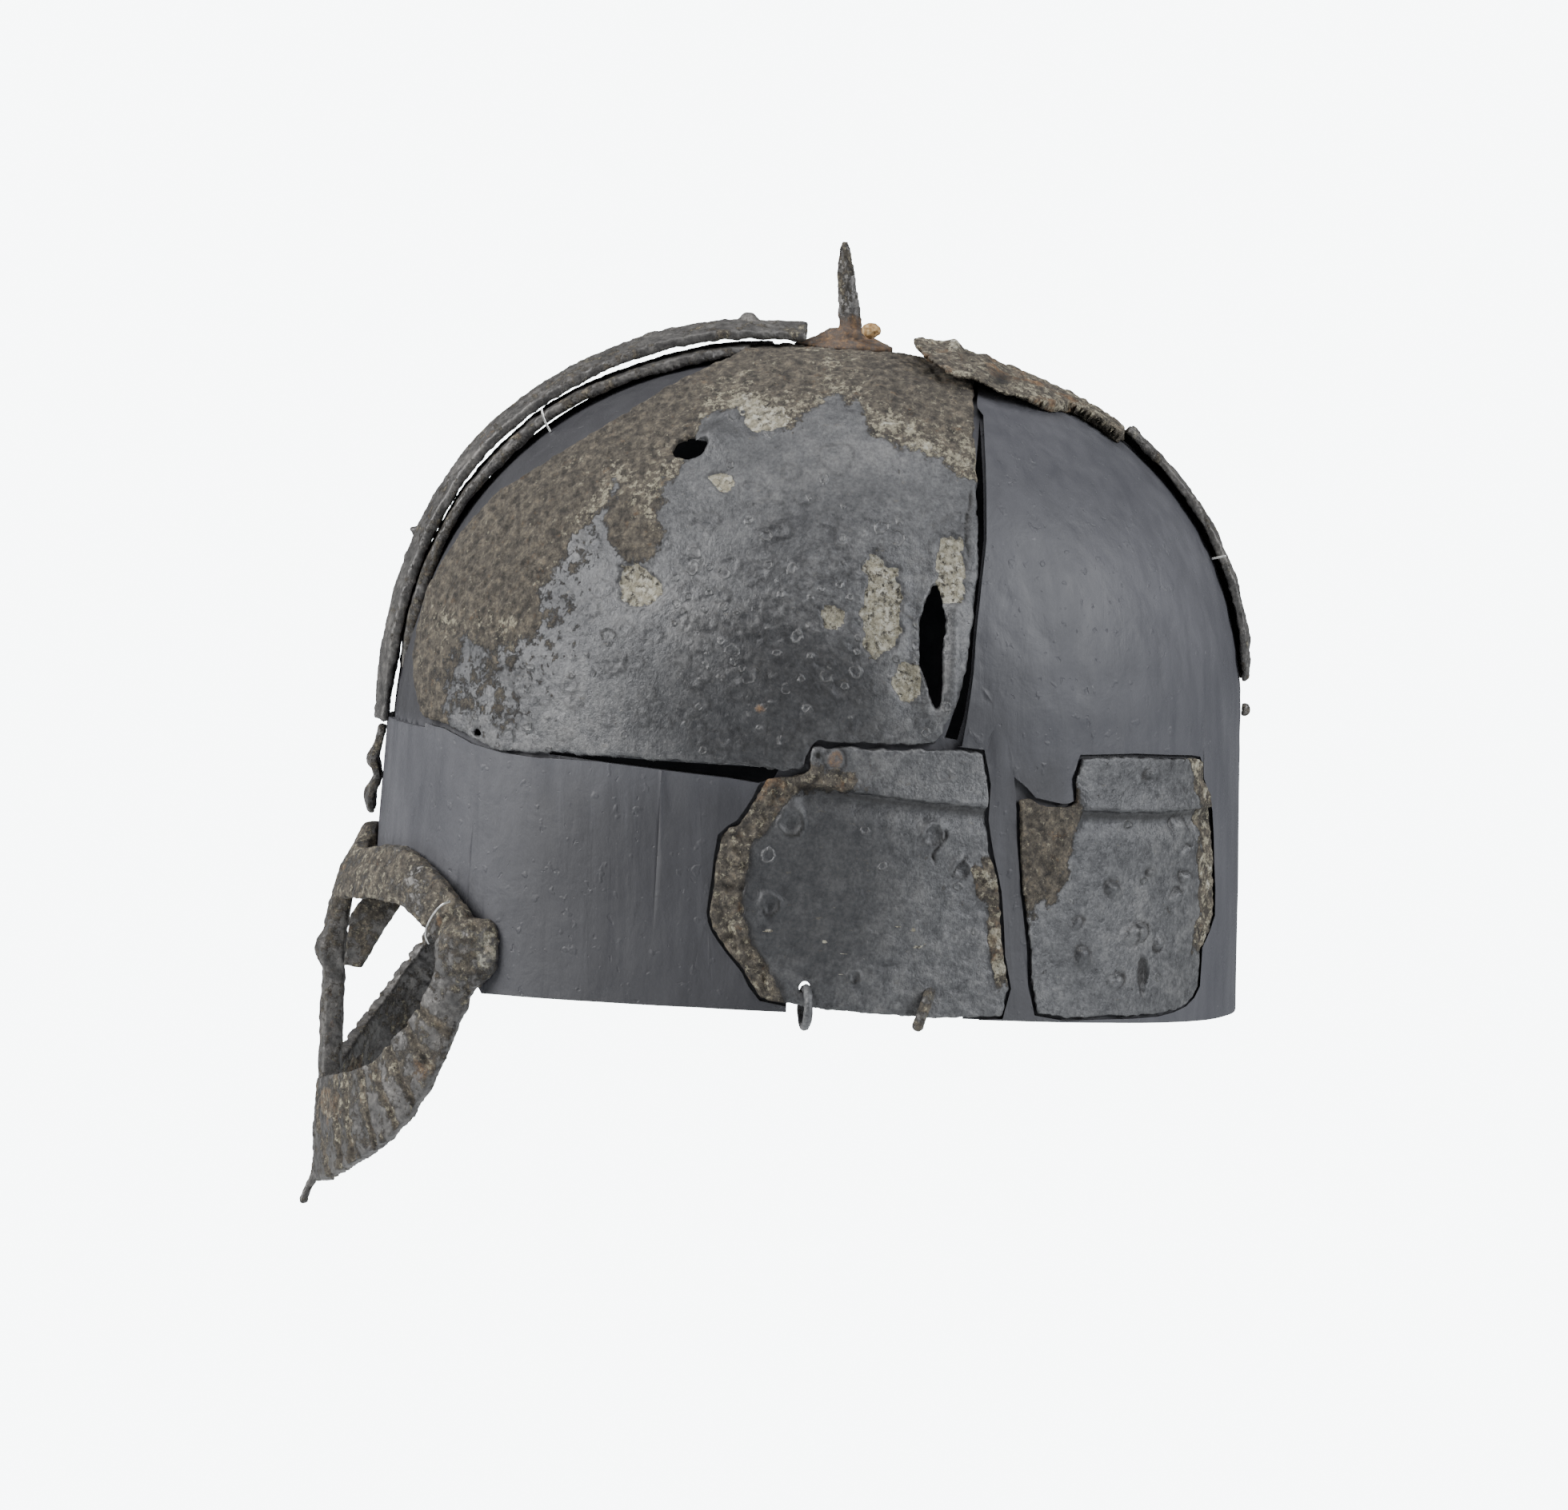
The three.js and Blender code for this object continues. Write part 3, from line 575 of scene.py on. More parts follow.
def fine_plate(name, cell, *nodes):
    """A plate remeshed in small cells, its outer face back on the helmet's smooth form."""
    piece = copy_of(name, *nodes)
    finish_with(piece, "REMESH", mode="VOXEL", voxel_size=cell * MM, use_smooth_shade=True)
    points, normals = points_of(piece), normals_of(piece)
    level = wall_level(points)
    outward = wall_outward(points, level)
    face = smooth(PLATE_FACE - 0.5, PLATE_FACE - 0.2, level)
    points += outward * ((PLATE_FACE - level) * face)[:, None]
    sideways = normals - outward * np.sum(normals * outward, axis=1, keepdims=True)
    return piece, points, outward, smooth(0.9, 1.8, level), sideways


def ragged(points, sideways, amount, seed):
    """Moves a plate's edges in and out in its own surface."""
    edge = grain(points, 4.0, 3, seed) + 0.6 * grain(points, 1.5, 1, seed + 2)
    return sideways * (amount * edge)[:, None]


def narrow_hole(points, centre, amount):
    """Draws the edge of a ring hole inwards."""
    off = points[:, 1:] - np.array(centre)
    away = np.maximum(np.linalg.norm(off, axis=1, keepdims=True), 1e-6)
    points[:, 1:] -= off / away * amount * smooth(3.4, 2.0, away)


def flange(points, line, start, end):
    """A strip rolled proud above a line, with a hollow under its lip and a band of painted shadow below the
    lip.
    """
    over = points[:, 2] - line
    along = smooth(start - 1.5, start + 1.5, points[:, 1]) * smooth(end + 1.5, end - 1.5, points[:, 1])
    proud = 1.45 * smooth(-0.3, 0.3, over) * np.exp(-np.maximum(over, 0.0) / 7.0)
    hollow = 1.25 * np.exp(-((over + 2.6) / 2.6) ** 2) * (over < 0.3)
    shadow = 0.6 * along * np.exp(-((over + 1.1) / 0.9) ** 2)
    return along * (proud - hollow), shadow


CROWN_CRUST_LINE = [
    (-105, 88), (-83, 88), (-74, 89), (-70, 99), (-64, 110), (-57, 118), (-51, 127), (-45, 122), (-36, 129),
    (-31, 143), (-21, 147), (-9, 143), (0, 151), (7, 149), (11, 142), (26, 136.5), (36, 132)]
CREAM_PATCHES = [
    (-45.3, 103.5, 5.4, 5.8, 0.9), (14.5, 101, 4.4, 12.5, 0.9),
    (31, 109.5, 3.6, 8, 0.7), (22, 83, 3, 5.5, 0.6), (3, 98.5, 2.6, 2.8, 0.6), (-15.5, 145, 6, 3, 0.4),
    (-25, 129.5, 2.8, 2.2, 0.6)]
LARGE_BLISTERS = [
    (2.3, 136, 6.2), (-13, 122.3, 5.6), (-8.8, 132.3, 2.6), (6.1, 111.3, 4), (30, 120.5, 3.6),
    (-57, 113, 4.4), (-72.6, 79, 4), (-63, 100, 3.4), (4.7, 66, 4.6), (-29, 76, 4.5), (-50, 84, 3.8)]


def make_crown_plate(material):
    piece, points, outward, face, sideways = fine_plate("crown_plate_iron", 0.74, "crown_plate")
    y, z = points[:, 1], points[:, 2]
    rough = np.random.default_rng(11)
    scattered = []
    for _ in range(150):
        centre_y, centre_z = rough.normal(-8.0, 17.0), rough.normal(90.0, 15.0)
        scattered.append((centre_y, centre_z, 2.2 + 2.6 * rough.random() ** 2))
    for _ in range(70):
        centre_y, centre_z = rough.uniform(-85, 34), rough.uniform(64, 128)
        scattered.append((centre_y, centre_z, 2.0 + 2.8 * rough.random() ** 2))
    wander = 3.4 * grain(points, 9.0, 4, 5) + 1.2 * grain(points, 1.8, 2, 15)
    crust_height = height_above(points, CROWN_CRUST_LINE) + wander
    front_edge = smooth(-86, -95, y + 3.0 * grain(points, 6.0, 3, 6))
    crust = np.maximum(smooth(-3.5, 3.5, crust_height), 0.75 * front_edge)
    tongue = side_distance(points, (-46, 119), (7, 10)) + 0.3 * grain(points, 5.0, 3, 16)
    crust = np.maximum(crust, smooth(1.3, 0.7, tongue))
    island = side_distance(points, (-75, 95.5), (7, 6)) + 0.4 * grain(points, 4.0, 3, 13)
    crust = np.maximum(crust, 0.8 * smooth(1.3, 0.7, island))
    front = smooth(-46, -64, y)
    front_mix = smooth(-46, -4, crust_height) * front * (0.42 + 0.4 * grain(points, 7.0, 3, 17))
    relief, edge = blisters(points, LARGE_BLISTERS + scattered, 12)
    relief *= 0.62 * (1.0 - crust)
    relief += front * (1.0 - crust) * (0.16 * grain(points, 2.2, 2, 23) + 0.1 * grain(points, 1.4, 1, 24))
    cream = 0.42 * np.exp(-((crust_height - 2.0) / 5.0) ** 2) * (0.5 + 0.5 * smooth(-66, -54, y))
    cream = cream + 0.25 * smooth(0.1, 0.5, grain(points, 10.0, 2, 18)) * crust
    for patch_y, patch_z, half_y, half_z, strength in CREAM_PATCHES:
        box = (np.abs((y - patch_y) / half_y) ** 2.5 + np.abs((z - patch_z) / half_z) ** 2.5) ** 0.4
        torn = 0.5 * grain(points, 6.0, 2, int(abs(patch_y))) + 0.3 * grain(points, 2.0, 2, int(abs(patch_z)))
        inside = smooth(1.06, 0.94, box + torn)
        cream = np.maximum(cream, inside * min(1.0, strength + 0.45))
        relief -= 0.9 * inside * strength * (1 + 0.6 * grain(points, 1.8, 2, 19))
        # Painted shade round the sunken edge of each patch.
        edge = np.maximum(edge, 1.6 * strength * np.exp(-((box + torn - 1.03) / 0.06) ** 2))
    relief += crust * (0.25 * grain(points, 3.0, 3, 7) + 0.35 * grain(points, 1.5, 1, 8) + 0.3)
    relief += (0.1 * grain(points, 2.2, 2, 9) + 0.6 * grain(points, 46.0, 2, 10)
               + 0.3 * grain(points, 12.0, 2, 14))
    # The torn lip behind the arrow-shaped hole and the bent edges of the upright slit.
    lip = np.exp(-(side_distance(points, (-26.5, 138.5), (6.0, 3.4)) ** 2))
    relief += 2.4 * lip * smooth(-34, -29, y)
    relief += 1.5 * np.exp(-(side_distance(points, (32.6, 90.0), (1.9, 17.0)) ** 2))
    relief -= 1.3 * np.exp(-(side_distance(points, (22.6, 92.0), (3.6, 15.0)) ** 2))
    crack = np.exp(-((y - 34.6 - 0.5 * np.sin(z / 2.2)) / 0.35) ** 2)
    crack *= smooth(112, 116, z) * smooth(132, 128, z)
    relief -= 0.8 * crack
    rust = 0.9 * np.exp(-(side_distance(points, (-13.3, 75.7), (1.6, 1.4)) ** 2))
    rust = np.maximum(rust, 0.75 * np.exp(-(side_distance(points, (4.7, 65.8), (2.4, 2.0)) ** 2)))
    warm = smooth(0.15, 0.5, grain(points, 16.0, 3, 22)) * smooth(-60, -20, y)
    rust = np.maximum(rust, 0.45 * crust * warm)
    move_to(piece, points + outward * (relief * face)[:, None] + ragged(points, sideways, 0.75, 21))
    # Painted shade: the plate's lower middle is darkened where shade falls on it, with cloudy darker patches
    # over the plate.
    cloud = 0.35 * grain(points, 26.0, 3, 25)
    dark = smooth(1.25, 0.35, side_distance(points, (-14.0, 78.0), (36.0, 24.0)) + cloud)
    dark = np.maximum(0.62 * dark, 0.3 * smooth(-0.1, 0.5, cloud * 2.5))
    field = np.exp(-(side_distance(points, (-10.0, 93.0), (30.0, 27.0)) ** 2)) + 0.25
    # Painted shade lies round the blisters, round the sunken patches and along the crack.
    paint_on(piece, crust=crust + front_mix, cream=cream * face, rust=rust,
             blister=field * (1 - crust) * face,
             groove=np.maximum(edge * 0.35 * (1 - crust), crack), dark=dark)
    deliver(piece, material, "plate_iron", "crown_plate")


SIDE_LEFT_EDGE = [
    (-10, 3), (-14, 12), (-18, 17), (-23, 26), (-22.4, 34), (-21.4, 44), (-17, 48), (-13, 54),
    (-5, 60), (-1, 67)]
SIDE_PITS = [(-4.7, 48.7, 5.4), (-8.8, 28.6, 3.6), (29.6, 47.4, 4.4), (36.8, 38.8, 3.4), (12.0, 12.0, 2.2)]


def make_side_plate(material):
    piece, points, outward, face, sideways = fine_plate("side_band_plate_iron", 0.5, "side_band_plate")
    y, z = points[:, 1], points[:, 2]
    edge_y, edge_z = np.array(SIDE_LEFT_EDGE, float).T
    inland = y - np.interp(z, edge_z, edge_y) + 3.4 * grain(points, 9.0, 4, 31)
    layer = smooth(7.2, 6.2, inland) * smooth(66, 60, z)
    ridge_crust = smooth(20, 6, y + 5.0 * grain(points, 6.0, 3, 29)) * np.exp(-((z - 59.5) / 3.4) ** 2)
    right_edge = np.interp(z, [3, 18, 33, 42, 51, 67], [48.2, 47.6, 46, 43.8, 42, 40.6])
    from_right = right_edge - y + 2.0 * grain(points, 4.5, 3, 32)
    right_lumps = smooth(6.0, 4.5, from_right) * smooth(41, 38, z) * smooth(29, 33, z)
    right_lumps = np.maximum(right_lumps, smooth(2.6, 1.6, from_right) * smooth(44, 40, z) * smooth(8, 14, z))
    crust = np.maximum(np.maximum(layer, 0.9 * ridge_crust), right_lumps)
    relief = crust * (1.15 * grain(points, 3.2, 3, 33) + 0.45 * grain(points, 1.2, 1, 30) - 0.15)
    relief += right_lumps * 0.5
    step, under_step = flange(points, np.interp(y, [-2, 20, 42], [58.2, 55.8, 53.8]), -3.0, 44.0)
    relief += step
    relief += 0.1 * grain(points, 2.4, 3, 34) + 0.5 * grain(points, 30.0, 2, 36)
    # Painted shade: under the rolled lip, along the border of the crumbly band, on one side of each pit's rim
    # and in the cracks.
    edge = np.maximum(under_step, 0.7 * np.exp(-((inland - 6.9) / 0.6) ** 2) * smooth(62, 56, z))
    for centre_y, centre_z, width in SIDE_PITS:
        turn = np.arctan2(z - centre_z, y - centre_y)
        away = side_distance(points, (centre_y, centre_z), (1.0, 1.3)) + 0.9 * grain(points, 2.4, 3, 37)
        crescent = 0.5 + 0.5 * np.cos(turn + 0.9)
        relief += 0.65 * np.exp(-((away - width / 2) / 0.9) ** 2) * (1 - 0.6 * crescent)
        relief -= 0.5 * smooth(width / 2, width / 5, away)
        edge = np.maximum(edge, 0.9 * crescent * np.exp(-((away - width / 2.1) / 0.35) ** 2))
    for centre_y, height, length in ((31.4, 44.6, 9.0), (36.4, 39.6, 6.0)):
        bend = centre_y + 1.5 * np.sin((z - height) / 1.7)
        crack = np.exp(-((y - bend) / 0.32) ** 2) * smooth(length / 2, length / 3, np.abs(z - height))
        relief -= 0.6 * crack
        edge = np.maximum(edge, crack)
    # Fine level wrinkles over the lower half.
    relief += 0.34 * smooth(44, 28, z) * grain(np.stack([points[:, 0], y / 3.6, z], 1), 1.7, 2, 38)
    points += outward * (relief * face)[:, None] + ragged(points, sideways, 0.55, 28)
    narrow_hole(points, (0.2, 9.2), 0.2)
    narrow_hole(points, (30.6, 9.0), 0.55)
    move_to(piece, points)
    cream = 0.22 * crust + 0.6 * right_lumps * smooth(-0.2, 0.3, grain(points, 3.0, 2, 40))
    wrinkles = grain(np.stack([points[:, 0], y / 2.8, z], 1), 1.6, 3, 26)
    cream = np.maximum(cream, 0.72 * smooth(0.3, 0.55, wrinkles) * smooth(40, 28, z) * smooth(4, 10, z))
    # Painted shade: the middle of the plate is darkened where shade falls on it.
    shade = side_distance(points, (2.0, 33.0), (26.0, 32.0)) + 0.3 * grain(points, 20.0, 3, 35)
    dark = 0.6 * smooth(1.2, 0.4, shade)
    rust = 0.5 * crust * smooth(-0.1, 0.4, grain(points, 7.0, 3, 39)) + 0.25 * ridge_crust
    drop = side_distance(points, (5.2, 64.6), (2.4, 2.6)) + 0.2 * grain(points, 3.0, 2, 98)
    rust = np.maximum(rust, 0.6 * smooth(1.1, 0.7, drop))
    # Painted shade round the rust drop and on a small spot beside it.
    edge = np.maximum(edge, 0.7 * np.exp(-((drop - 1.12) / 0.12) ** 2))
    edge = np.maximum(edge, smooth(1.0, 0.6, side_distance(points, (1.0, 65.4), (1.0, 1.1))))
    paint_on(piece, crust=crust, cream=cream, rust=rust, blister=np.full(len(points), 0.06),
             groove=edge, dark=dark)
    deliver(piece, material, "plate_iron", "side_band_plate")


# Warts of the rear plate: place along and up, width, height, and the angle of the proud side.
REAR_WARTS = [
    (74.7, 33.8, 4.0, 1.2, 2.2), (80.2, 23.1, 5.8, 1.6, 0.4), (90.4, 31.6, 3.2, 1.1, 1.2),
    (91.2, 48.6, 4.4, 1.0, 2.0), (82.2, 62.1, 2.6, 1.0, 3.4), (68.0, 17.2, 4.6, 0.7, 1.8),
    (75.8, 11.3, 4.0, 0.9, 0.5), (93.4, 36.0, 3.2, 0.9, 2.6), (92.7, 43.0, 2.0, 0.8, 1.0),
    (86.8, 20.8, 2.6, 0.8, 4.5), (66.0, 26.0, 2.2, 0.5, 1.0), (84.0, 38.0, 1.8, 0.5, 3.0)]


def make_rear_plate(material):
    piece, points, outward, face, sideways = fine_plate("rear_band_plate_iron", 0.52, "rear_band_plate")
    y, z = points[:, 1], points[:, 2]
    corner = smooth(16, 10, np.hypot(y - 51.0, (z - 52.0) * 0.55) + 5.0 * grain(points, 7.0, 4, 41))
    right_edge = np.interp(z, [3, 9, 18, 26, 39, 52, 60, 66], [93, 97, 97, 99.6, 99, 97.6, 95.6, 93])
    right = smooth(3.4, 2.2, right_edge - y + 2.0 * grain(points, 4.5, 3, 42)) * smooth(14, 22, z)
    crust = np.maximum(corner, right)
    relief = crust * (0.7 * grain(points, 2.8, 3, 44) + 0.3 * grain(points, 1.2, 1, 43)) + 0.15 * right
    relief += 0.14 * grain(points, 2.4, 3, 45) + 0.45 * grain(points, 26.0, 2, 46)
    # Painted shade: under the rolled lip, on the proud side of each wart's rim, in the slot and along the
    # split.
    step, edge = flange(points, np.interp(y, [65, 82, 97.4], [53.4, 52.6, 53.0]), 65.5, 98.5)
    relief += step
    for centre_y, centre_z, width, tall, facing in REAR_WARTS:
        turn = np.arctan2(z - centre_z, y - centre_y)
        oval = 1.0 + 0.22 * np.cos(2.0 * (turn - facing))
        away = side_distance(points, (centre_y, centre_z)) / oval + 0.7 * grain(points, 2.4, 3, 47)
        crescent = 0.5 + 0.5 * np.cos(turn - facing)
        relief += 1.35 * tall * smooth(width / 2 + 0.4, width / 6, away) * (0.55 + 0.45 * crescent)
        rim = np.exp(-((away - width / 2 - 0.3) / 0.35) ** 2) * crescent
        relief -= 0.35 * rim
        edge = np.maximum(edge, 0.85 * rim)
    hollow = side_distance(points, (83.0, 13.2), (1.5, 4.8)) + 0.25 * grain(points, 2.0, 2, 50)
    slot = smooth(1.1, 0.7, hollow)
    relief -= 1.1 * slot
    edge = np.maximum(edge, 0.75 * slot)
    split = np.exp(-((y - 80.6 - 0.3 * np.sin(z)) / 0.3) ** 2) * (np.abs(z - 23.1) < 2.6)
    edge = np.maximum(edge, 0.7 * split)
    move_to(piece, points + outward * (relief * face)[:, None] + ragged(points, sideways, 0.5, 27))
    cream = 0.15 * corner + right * (0.3 + 0.4 * smooth(0.0, 0.4, grain(points, 2.6, 2, 48)))
    rust = 0.3 * crust * smooth(-0.1, 0.4, grain(points, 5.0, 2, 49))
    paint_on(piece, crust=crust, cream=cream, rust=rust, blister=np.full(len(points), 0.1), groove=edge)
    deliver(piece, material, "plate_iron", "rear_band_plate")


# ---- strips, fragments, spike ------------------------------------------------------------------------

def rough_iron(name, nodes, cell, roughness, seed, material, slot="rusted_iron", shape=None, crust=0.5,
               before=None):
    """Small iron remeshed finely, roughened along its normals and shaped by a function of its own."""
    piece = copy_of(name, *nodes)
    if before is not None:
        move_to(piece, before(points_of(piece)))
    finish_with(piece, "REMESH", mode="VOXEL", voxel_size=cell * MM, use_smooth_shade=True)
    finish_with(piece, "SMOOTH", factor=0.5, iterations=2 if cell > 0.3 else 1)
    points, normals = points_of(piece), normals_of(piece)
    relief = roughness * (0.7 * grain(points, 4.5, 3, seed) + 0.6 * grain(points, 1.6, 2, seed + 3))
    masks = {"crust": crust + 0.5 * grain(points, 8.0, 3, seed + 5),
             "cream": 0.2 + 0.25 * smooth(0.1, 0.5, grain(points, 6.0, 2, seed + 8)),
             "rust": 0.5 * smooth(0.25, 0.6, grain(points, 9.0, 3, seed + 6)),
             "blister": np.full(len(points), 0.05), "groove": np.zeros(len(points))}
    if shape is not None:
        relief += shape(points, normals, masks)
    move_to(piece, points + normals * relief[:, None])
    paint_on(piece, **masks)
    deliver(piece, material, slot, *nodes)
    return piece


def crest_shape(points, normals, masks):
    """Rivet heads on the outer crest strip, and its paler, smoother lower end."""
    relief = np.zeros(len(points))
    for y, z, width in ((-21.0, 168.0, 3.4), (-102.6, 110.5, 1.6)):
        away = np.linalg.norm(points - np.array([0.0, y, z]), axis=1)
        relief += 1.5 * smooth(width, width * 0.4, away)
    masks["crust"] -= 0.35 * smooth(100, 75, points[:, 2])
    return relief


def nose_strip_shape(points, normals, masks):
    bosses = np.exp(-((points[:, 2] - 52.5) / 2.2) ** 2) + np.exp(-((points[:, 2] - 44.0) / 3.0) ** 2)
    return 0.8 * bosses * smooth(5.0, 1.5, np.abs(points[:, 0])) * (normals[:, 1] < -0.3)


def facing_in(points, normals):
    """How far each point's normal looks towards the helmet's inside, from 0 to 1."""
    outward = wall_outward(points, wall_level(points))
    return smooth(0.2, 0.7, -(normals * outward).sum(axis=1))


def rear_crown_shape(points, normals, masks):
    masks["rust"] = 0.6 * smooth(-0.2, 0.45, grain(points * [1, 0.5, 1], 7.0, 3, 91)) + 0.2
    masks["cream"] = 0.34 + 0.3 * grain(points * [1, 0.5, 1], 4.0, 3, 96)
    masks["crust"] += 0.35
    hollow = np.exp(-(side_distance(points, (42.5, 156.0), (3.0, 1.6)) ** 2)) * (normals[:, 2] > 0)
    # Painted shade in the hollow.
    masks["groove"] = hollow
    nodule = np.exp(-(side_distance(points, (30.4, 162.5), (1.6, 1.8)) ** 2)) * (normals[:, 2] > 0)
    masks["cream"] = np.maximum(masks["cream"], nodule)
    masks["rust"] *= 1.0 - nodule
    # Towards its thin end the fragment thickens inwards, down to the support.
    seated = 2.2 * facing_in(points, normals) * smooth(46, 56, points[:, 1])
    return seated + 1.6 * nodule - 0.9 * hollow + 0.9 * grain(points * [1, 0.6, 1], 3.4, 3, 92)


def inner_strip_shape(points, normals, masks):
    """The strip's inner face, thickened unevenly so that only slits stay open to the support."""
    return facing_in(points, normals) * (1.15 + 0.9 * grain(points, 16.0, 2, 97))


def rear_strip_shape(points, normals, masks):
    masks["crust"] = 0.3 + 0.4 * grain(points, 7.0, 3, 93)
    masks["cream"] = 0.42 + 0.35 * grain(points, 4.0, 3, 94)
    masks["rust"] = 0.6 * smooth(88, 82, points[:, 2])
    return 0.5 * grain(points, 5.0, 2, 95)


def turn_ring(points):
    """The hanging ring swings a little, so that its opening shows from the side."""
    across, along = points[:, 0] - RING_HOLE[0], points[:, 1] - RING_HOLE[1]
    turned = points.copy()
    turned[:, 0] = RING_HOLE[0] + across * math.cos(RING_SWING) - along * math.sin(RING_SWING)
    turned[:, 1] = RING_HOLE[1] + across * math.sin(RING_SWING) + along * math.cos(RING_SWING)
    return turned


def broken_ring_shape(points, normals, masks):
    """The broken ring is swollen evenly by rust."""
    return np.full(len(points), 0.35)


def spike_shape(points, normals, masks):
    masks["rust"] = 0.7 * smooth(174, 166, points[:, 2])
    return -0.25 * smooth(168, 175, points[:, 2])


# Grooves across the lower rims, from the eye's edge outwards: turn and height of both ends.
RIM_GROOVES = [
    ((17, -36), (28, -48)), ((31, -27), (36, -46)), ((37, -24), (42, -43)), ((45, -22), (52, -38)),
    ((50, -18), (60, -32)), ((56, -13), (66, -26)), ((62, -8), (73, -18)), ((66, -3), (79, -9))]
RIGHT_FORWARD = 4.5
RIGHT_LIFT = 5.5


def guard_places(points):
    """Turn, in degrees from the nose, and height on the guard's undistorted left half."""
    right = points[:, 0] < 0
    turn = np.zeros(len(points))
    for _ in range(3):
        ahead = points[:, 1] + np.where(right, RIGHT_FORWARD * smooth(20, 60, turn), 0.0)
        turn = np.degrees(np.arctan2(np.abs(points[:, 0]) / 67.0, 1.0 - (ahead + 120.3) / 44.0))
    lift = RIGHT_LIFT * smooth(17, 50, turn) * (1 - 0.8 * smooth(64, 76, turn))
    return turn, points[:, 2] - np.where(right, lift, 0.0)


def guard_shape(points, normals, masks):
    """Grooves across the lower rims, the nose boss and the broken knot."""
    turn, height = guard_places(points)
    lower = smooth(4.0, -3.0, height) * smooth(7.5, 9.5, np.abs(points[:, 0]))
    relief, filled = np.zeros(len(points)), np.zeros(len(points))
    outer = smooth(0.1, 0.5, -normals[:, 1] + 0.6 * normals[:, 0] * np.sign(points[:, 0]))
    wobble = 0.5 * grain(points, 4.0, 2, 60)
    for (turn_a, height_a), (turn_b, height_b) in RIM_GROOVES:
        span = np.array([turn_b - turn_a, height_b - height_a], float)
        off = ((turn - turn_a) * span[1] - (height - height_a) * span[0]) / np.linalg.norm(span) + wobble
        relief -= 0.9 * np.exp(-(off / 0.8) ** 2) * lower * outer
        filled = np.maximum(filled, np.exp(-(off / 1.25) ** 2) * lower * outer)
    middle = np.array([66.7, -81.0, 11.3])
    forward = np.where(points[:, :1] < 0, 1.0, 0.0) * [0, RIGHT_FORWARD, 0]
    left_side = np.abs(points) * [1, 0, 0] + points * [0, 1, 1] + forward
    near_knot = smooth(15.0, 9.0, np.linalg.norm(left_side - middle, axis=1))
    relief += near_knot * (0.9 * grain(points, 4.5, 3, 61) + 0.3)
    off_break = (points - np.array([69.0, -77.5, 12.3])) / [7.0, 3.0, 5.4]
    broken = np.exp(-(np.linalg.norm(off_break, axis=1) ** 2))
    boss = np.exp(-(((points[:, 2] - 5.5) / 3.4) ** 2)) * smooth(6, 2, np.abs(points[:, 0]))
    boss = boss * (points[:, 1] < -115)
    relief += 0.5 * boss - 0.6 * broken
    brow = smooth(12, 20, points[:, 2])
    masks["crust"] = 0.38 + 0.4 * grain(points, 9.0, 3, 62) + 0.8 * filled + 0.3 * brow + 0.15 * near_knot
    off_patch = np.hypot((turn - 27) / 11, (height + 31) / 4.0) + 0.3 * grain(points, 4.0, 3, 64)
    patch = smooth(1.1, 0.8, off_patch)
    masks["crust"] = np.maximum(masks["crust"], patch)
    masks["rust"] = np.maximum(0.55 * smooth(0.2, 0.6, grain(points, 9.0, 3, 63)), 0.5 * patch)
    masks["rust"] = np.maximum(masks["rust"], 0.4 * filled)
    masks["cream"] = np.maximum(0.25 + 0.2 * grain(points, 6.0, 2, 66), 0.63 * smooth(0.1, 0.6, broken))
    masks["rust"] = np.maximum(masks["rust"] * (1 - broken), 0.5 * broken)
    return relief


def close_guard(points):
    """Brings the rims' inner ends into the nasal bar, so that the guard is one forging."""
    side = np.abs(points[:, 0])
    ends = (side > 6.7) & (side < 9.6) & (points[:, 1] < -105.0)
    moved = points.copy()
    moved[ends, 0] = np.sign(points[ends, 0]) * 4.5
    return moved


# ---- the support -------------------------------------------------------------------------------------

def make_support(material, hollow):
    """The support keeps the part's edges; its walls go back on the smooth form and get a hand's waviness."""
    piece = copy_of("support_shell_painted", "support_shell")
    finish_with(piece, "TRIANGULATE")
    finish_with(piece, "SUBSURF", subdivision_type="SIMPLE", levels=2, render_levels=2)
    points = points_of(piece)
    level = wall_level(points)
    outward = wall_outward(points, level)
    for face in (SHELL_FACE, 0.0):
        near = (np.abs(level - face) < 0.2)
        points[near] += outward[near] * (face - level[near])[:, None]
    wave = 0.42 * grain(points, 32.0, 3, 71) + 0.14 * grain(points * [1, 1, 0.25], 7.0, 2, 72)
    crease = np.exp(-((points[:, 1] - 95.8) / 0.9) ** 2)
    crease = crease * smooth(58, 62, points[:, 2]) * smooth(82, 74, points[:, 2])
    wave -= 0.5 * crease * (points[:, 0] > 0)
    outside = smooth(-1.0, 0.4, level)
    points += outward * (wave * outside)[:, None]
    move_to(piece, points)
    y, z = points[:, 1], points[:, 2]
    # Painted shade: the front band, the strip of support between the side and rear plates, the brow under the
    # crest strips and a patch of the dome above the side plate are darkened where shade falls, on the
    # wearer's left only.
    band = smooth(-84, -62, y) * smooth(4, -10, y) * smooth(64, 50, z)
    web = smooth(44, 49, y) * smooth(64, 60, y) * smooth(70, 62, z)
    brow = smooth(0, -12, y) * smooth(63, 67, z)
    hollow_side = smooth(60, 40, y) * smooth(20, 36, y) * smooth(105, 78, z)
    dark = np.maximum.reduce([0.6 * band, 0.5 * web, 0.72 * brow, 0.4 * hollow_side])
    dark = np.clip(dark + 0.12 * grain(points, 24.0, 3, 74), 0.0, 1.0) * smooth(0, 14, points[:, 0])
    paint_on(piece, dark=dark)
    deliver(piece, material, "support_resin", "support_shell")
    mesh = piece.data
    # The hollow's faces take the near-black painted shade.
    mesh.materials.append(hollow)
    for face in mesh.polygons:
        highest = max(level[corner] for corner in face.vertices)
        face.material_index = int(highest < HOLLOW_LEVEL)
    take_up(piece)
    bpy.ops.object.shade_smooth_by_angle(angle=math.radians(32.0))


# ---- the assembly ------------------------------------------------------------------------------------

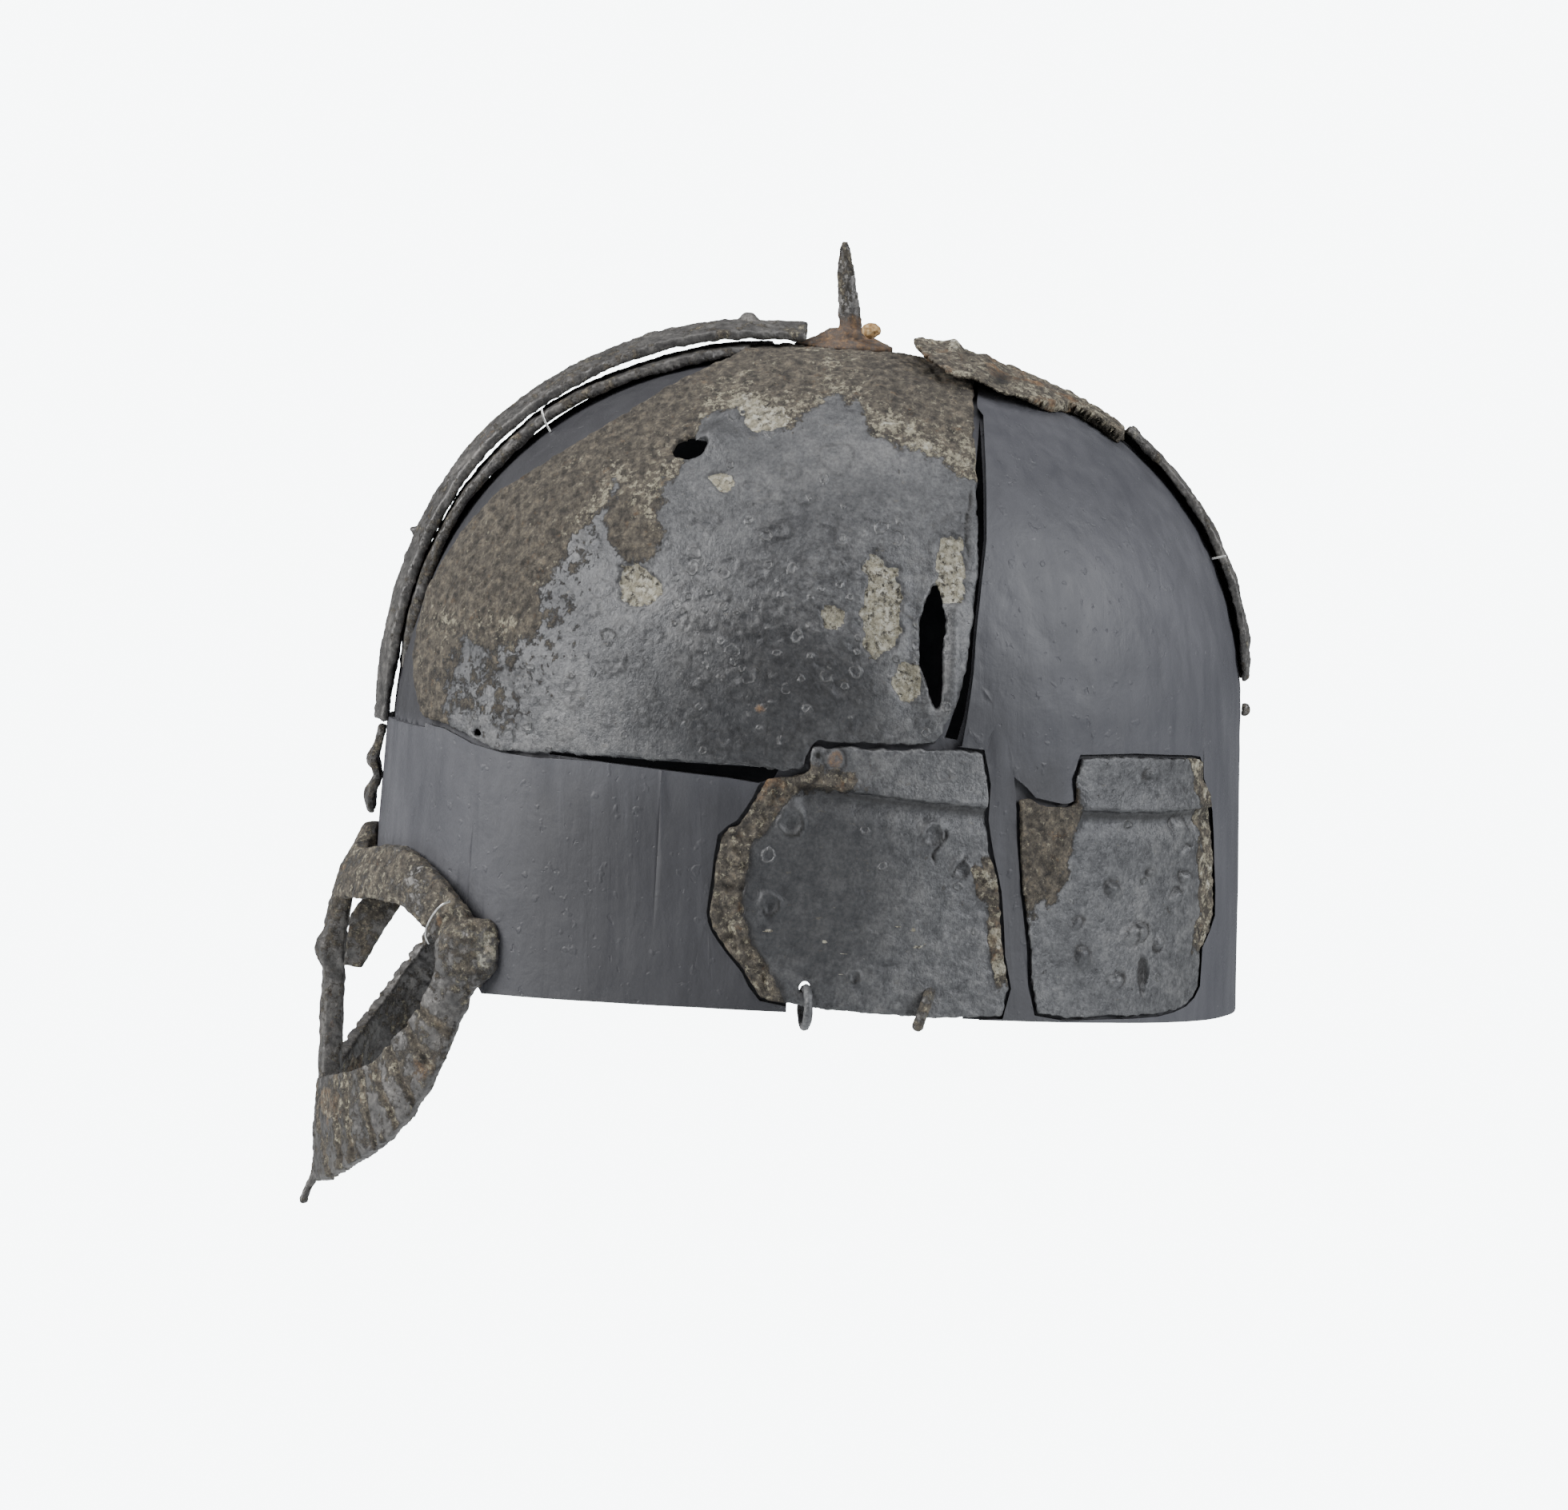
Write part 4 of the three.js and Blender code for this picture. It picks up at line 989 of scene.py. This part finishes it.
def main():
    make_camera()
    make_floor()
    make_light()
    groups = (make_crust_group(), make_skin_group(), make_blister_group())
    plate_iron = iron_material("plate_iron", groups, crust_bias=0.0, tone=(0.96, 0.95, 0.935),
                               sheen=0.55, relief=0.8)
    rusted_iron = iron_material("rusted_iron", groups, crust_bias=-0.02, tone=(1.0, 0.94, 0.86),
                                sheen=0.5, relief=0.55)
    paint = paint_material()
    wire = wire_material()

    make_support(paint, hollow_material())
    make_crown_plate(plate_iron)
    make_side_plate(plate_iron)
    make_rear_plate(plate_iron)
    rough_iron("crest_strip_outer_iron", ["crest_strip_outer"], 0.56, 0.6, 51, rusted_iron,
               shape=crest_shape, crust=0.35)
    rough_iron("crest_strip_inner_iron", ["crest_strip_inner"], 0.6, 0.5, 55, rusted_iron,
               shape=inner_strip_shape, crust=0.4)
    rough_iron("nose_strip_iron", ["nose_strip"], 0.35, 0.5, 57, rusted_iron,
               shape=nose_strip_shape, crust=0.3)
    rough_iron("rear_crown_fragment_iron", ["rear_crown_fragment"], 0.56, 0.7, 59, rusted_iron,
               shape=rear_crown_shape, crust=0.7)
    rough_iron("rear_strip_iron", ["rear_strip"], 0.52, 0.5, 65, rusted_iron, shape=rear_strip_shape)
    rough_iron("rear_rivet_iron", ["rear_rivet"], 0.25, 0.4, 67, rusted_iron)
    rough_iron("spike_iron", ["spike"], 0.36, 0.4, 69, rusted_iron, shape=spike_shape, crust=0.35)
    rough_iron("spectacle_guard", ["nasal_bar", "brow_rim_left", "brow_rim_right", "lower_rim_left",
                                   "lower_rim_right"], 0.56, 0.6, 73, rusted_iron,
               shape=guard_shape, before=close_guard)
    rough_iron("brow_lug_iron", ["brow_lug"], 0.3, 0.4, 75, rusted_iron)
    rough_iron("mail_ring_iron", ["mail_ring"], 0.22, 0.25, 77, plate_iron, slot="plate_iron", crust=0.1,
               before=turn_ring)
    rough_iron("mail_ring_broken_iron", ["mail_ring_broken"], 0.22, 0.3, 79, rusted_iron,
               shape=broken_ring_shape, crust=0.6)
    rough_iron("packing_lump_ochre", ["packing_lump"], 0.25, 0.6, 81, packing_material(), slot="packing")
    for node in ("tie_wire_front", "tie_wire_rear", "tie_wire_temple"):
        piece = copy_of(node + "_bright", node)
        finish_with(piece, "SUBSURF", levels=1, render_levels=1)
        deliver(piece, wire, "tie_wire", node)


main()
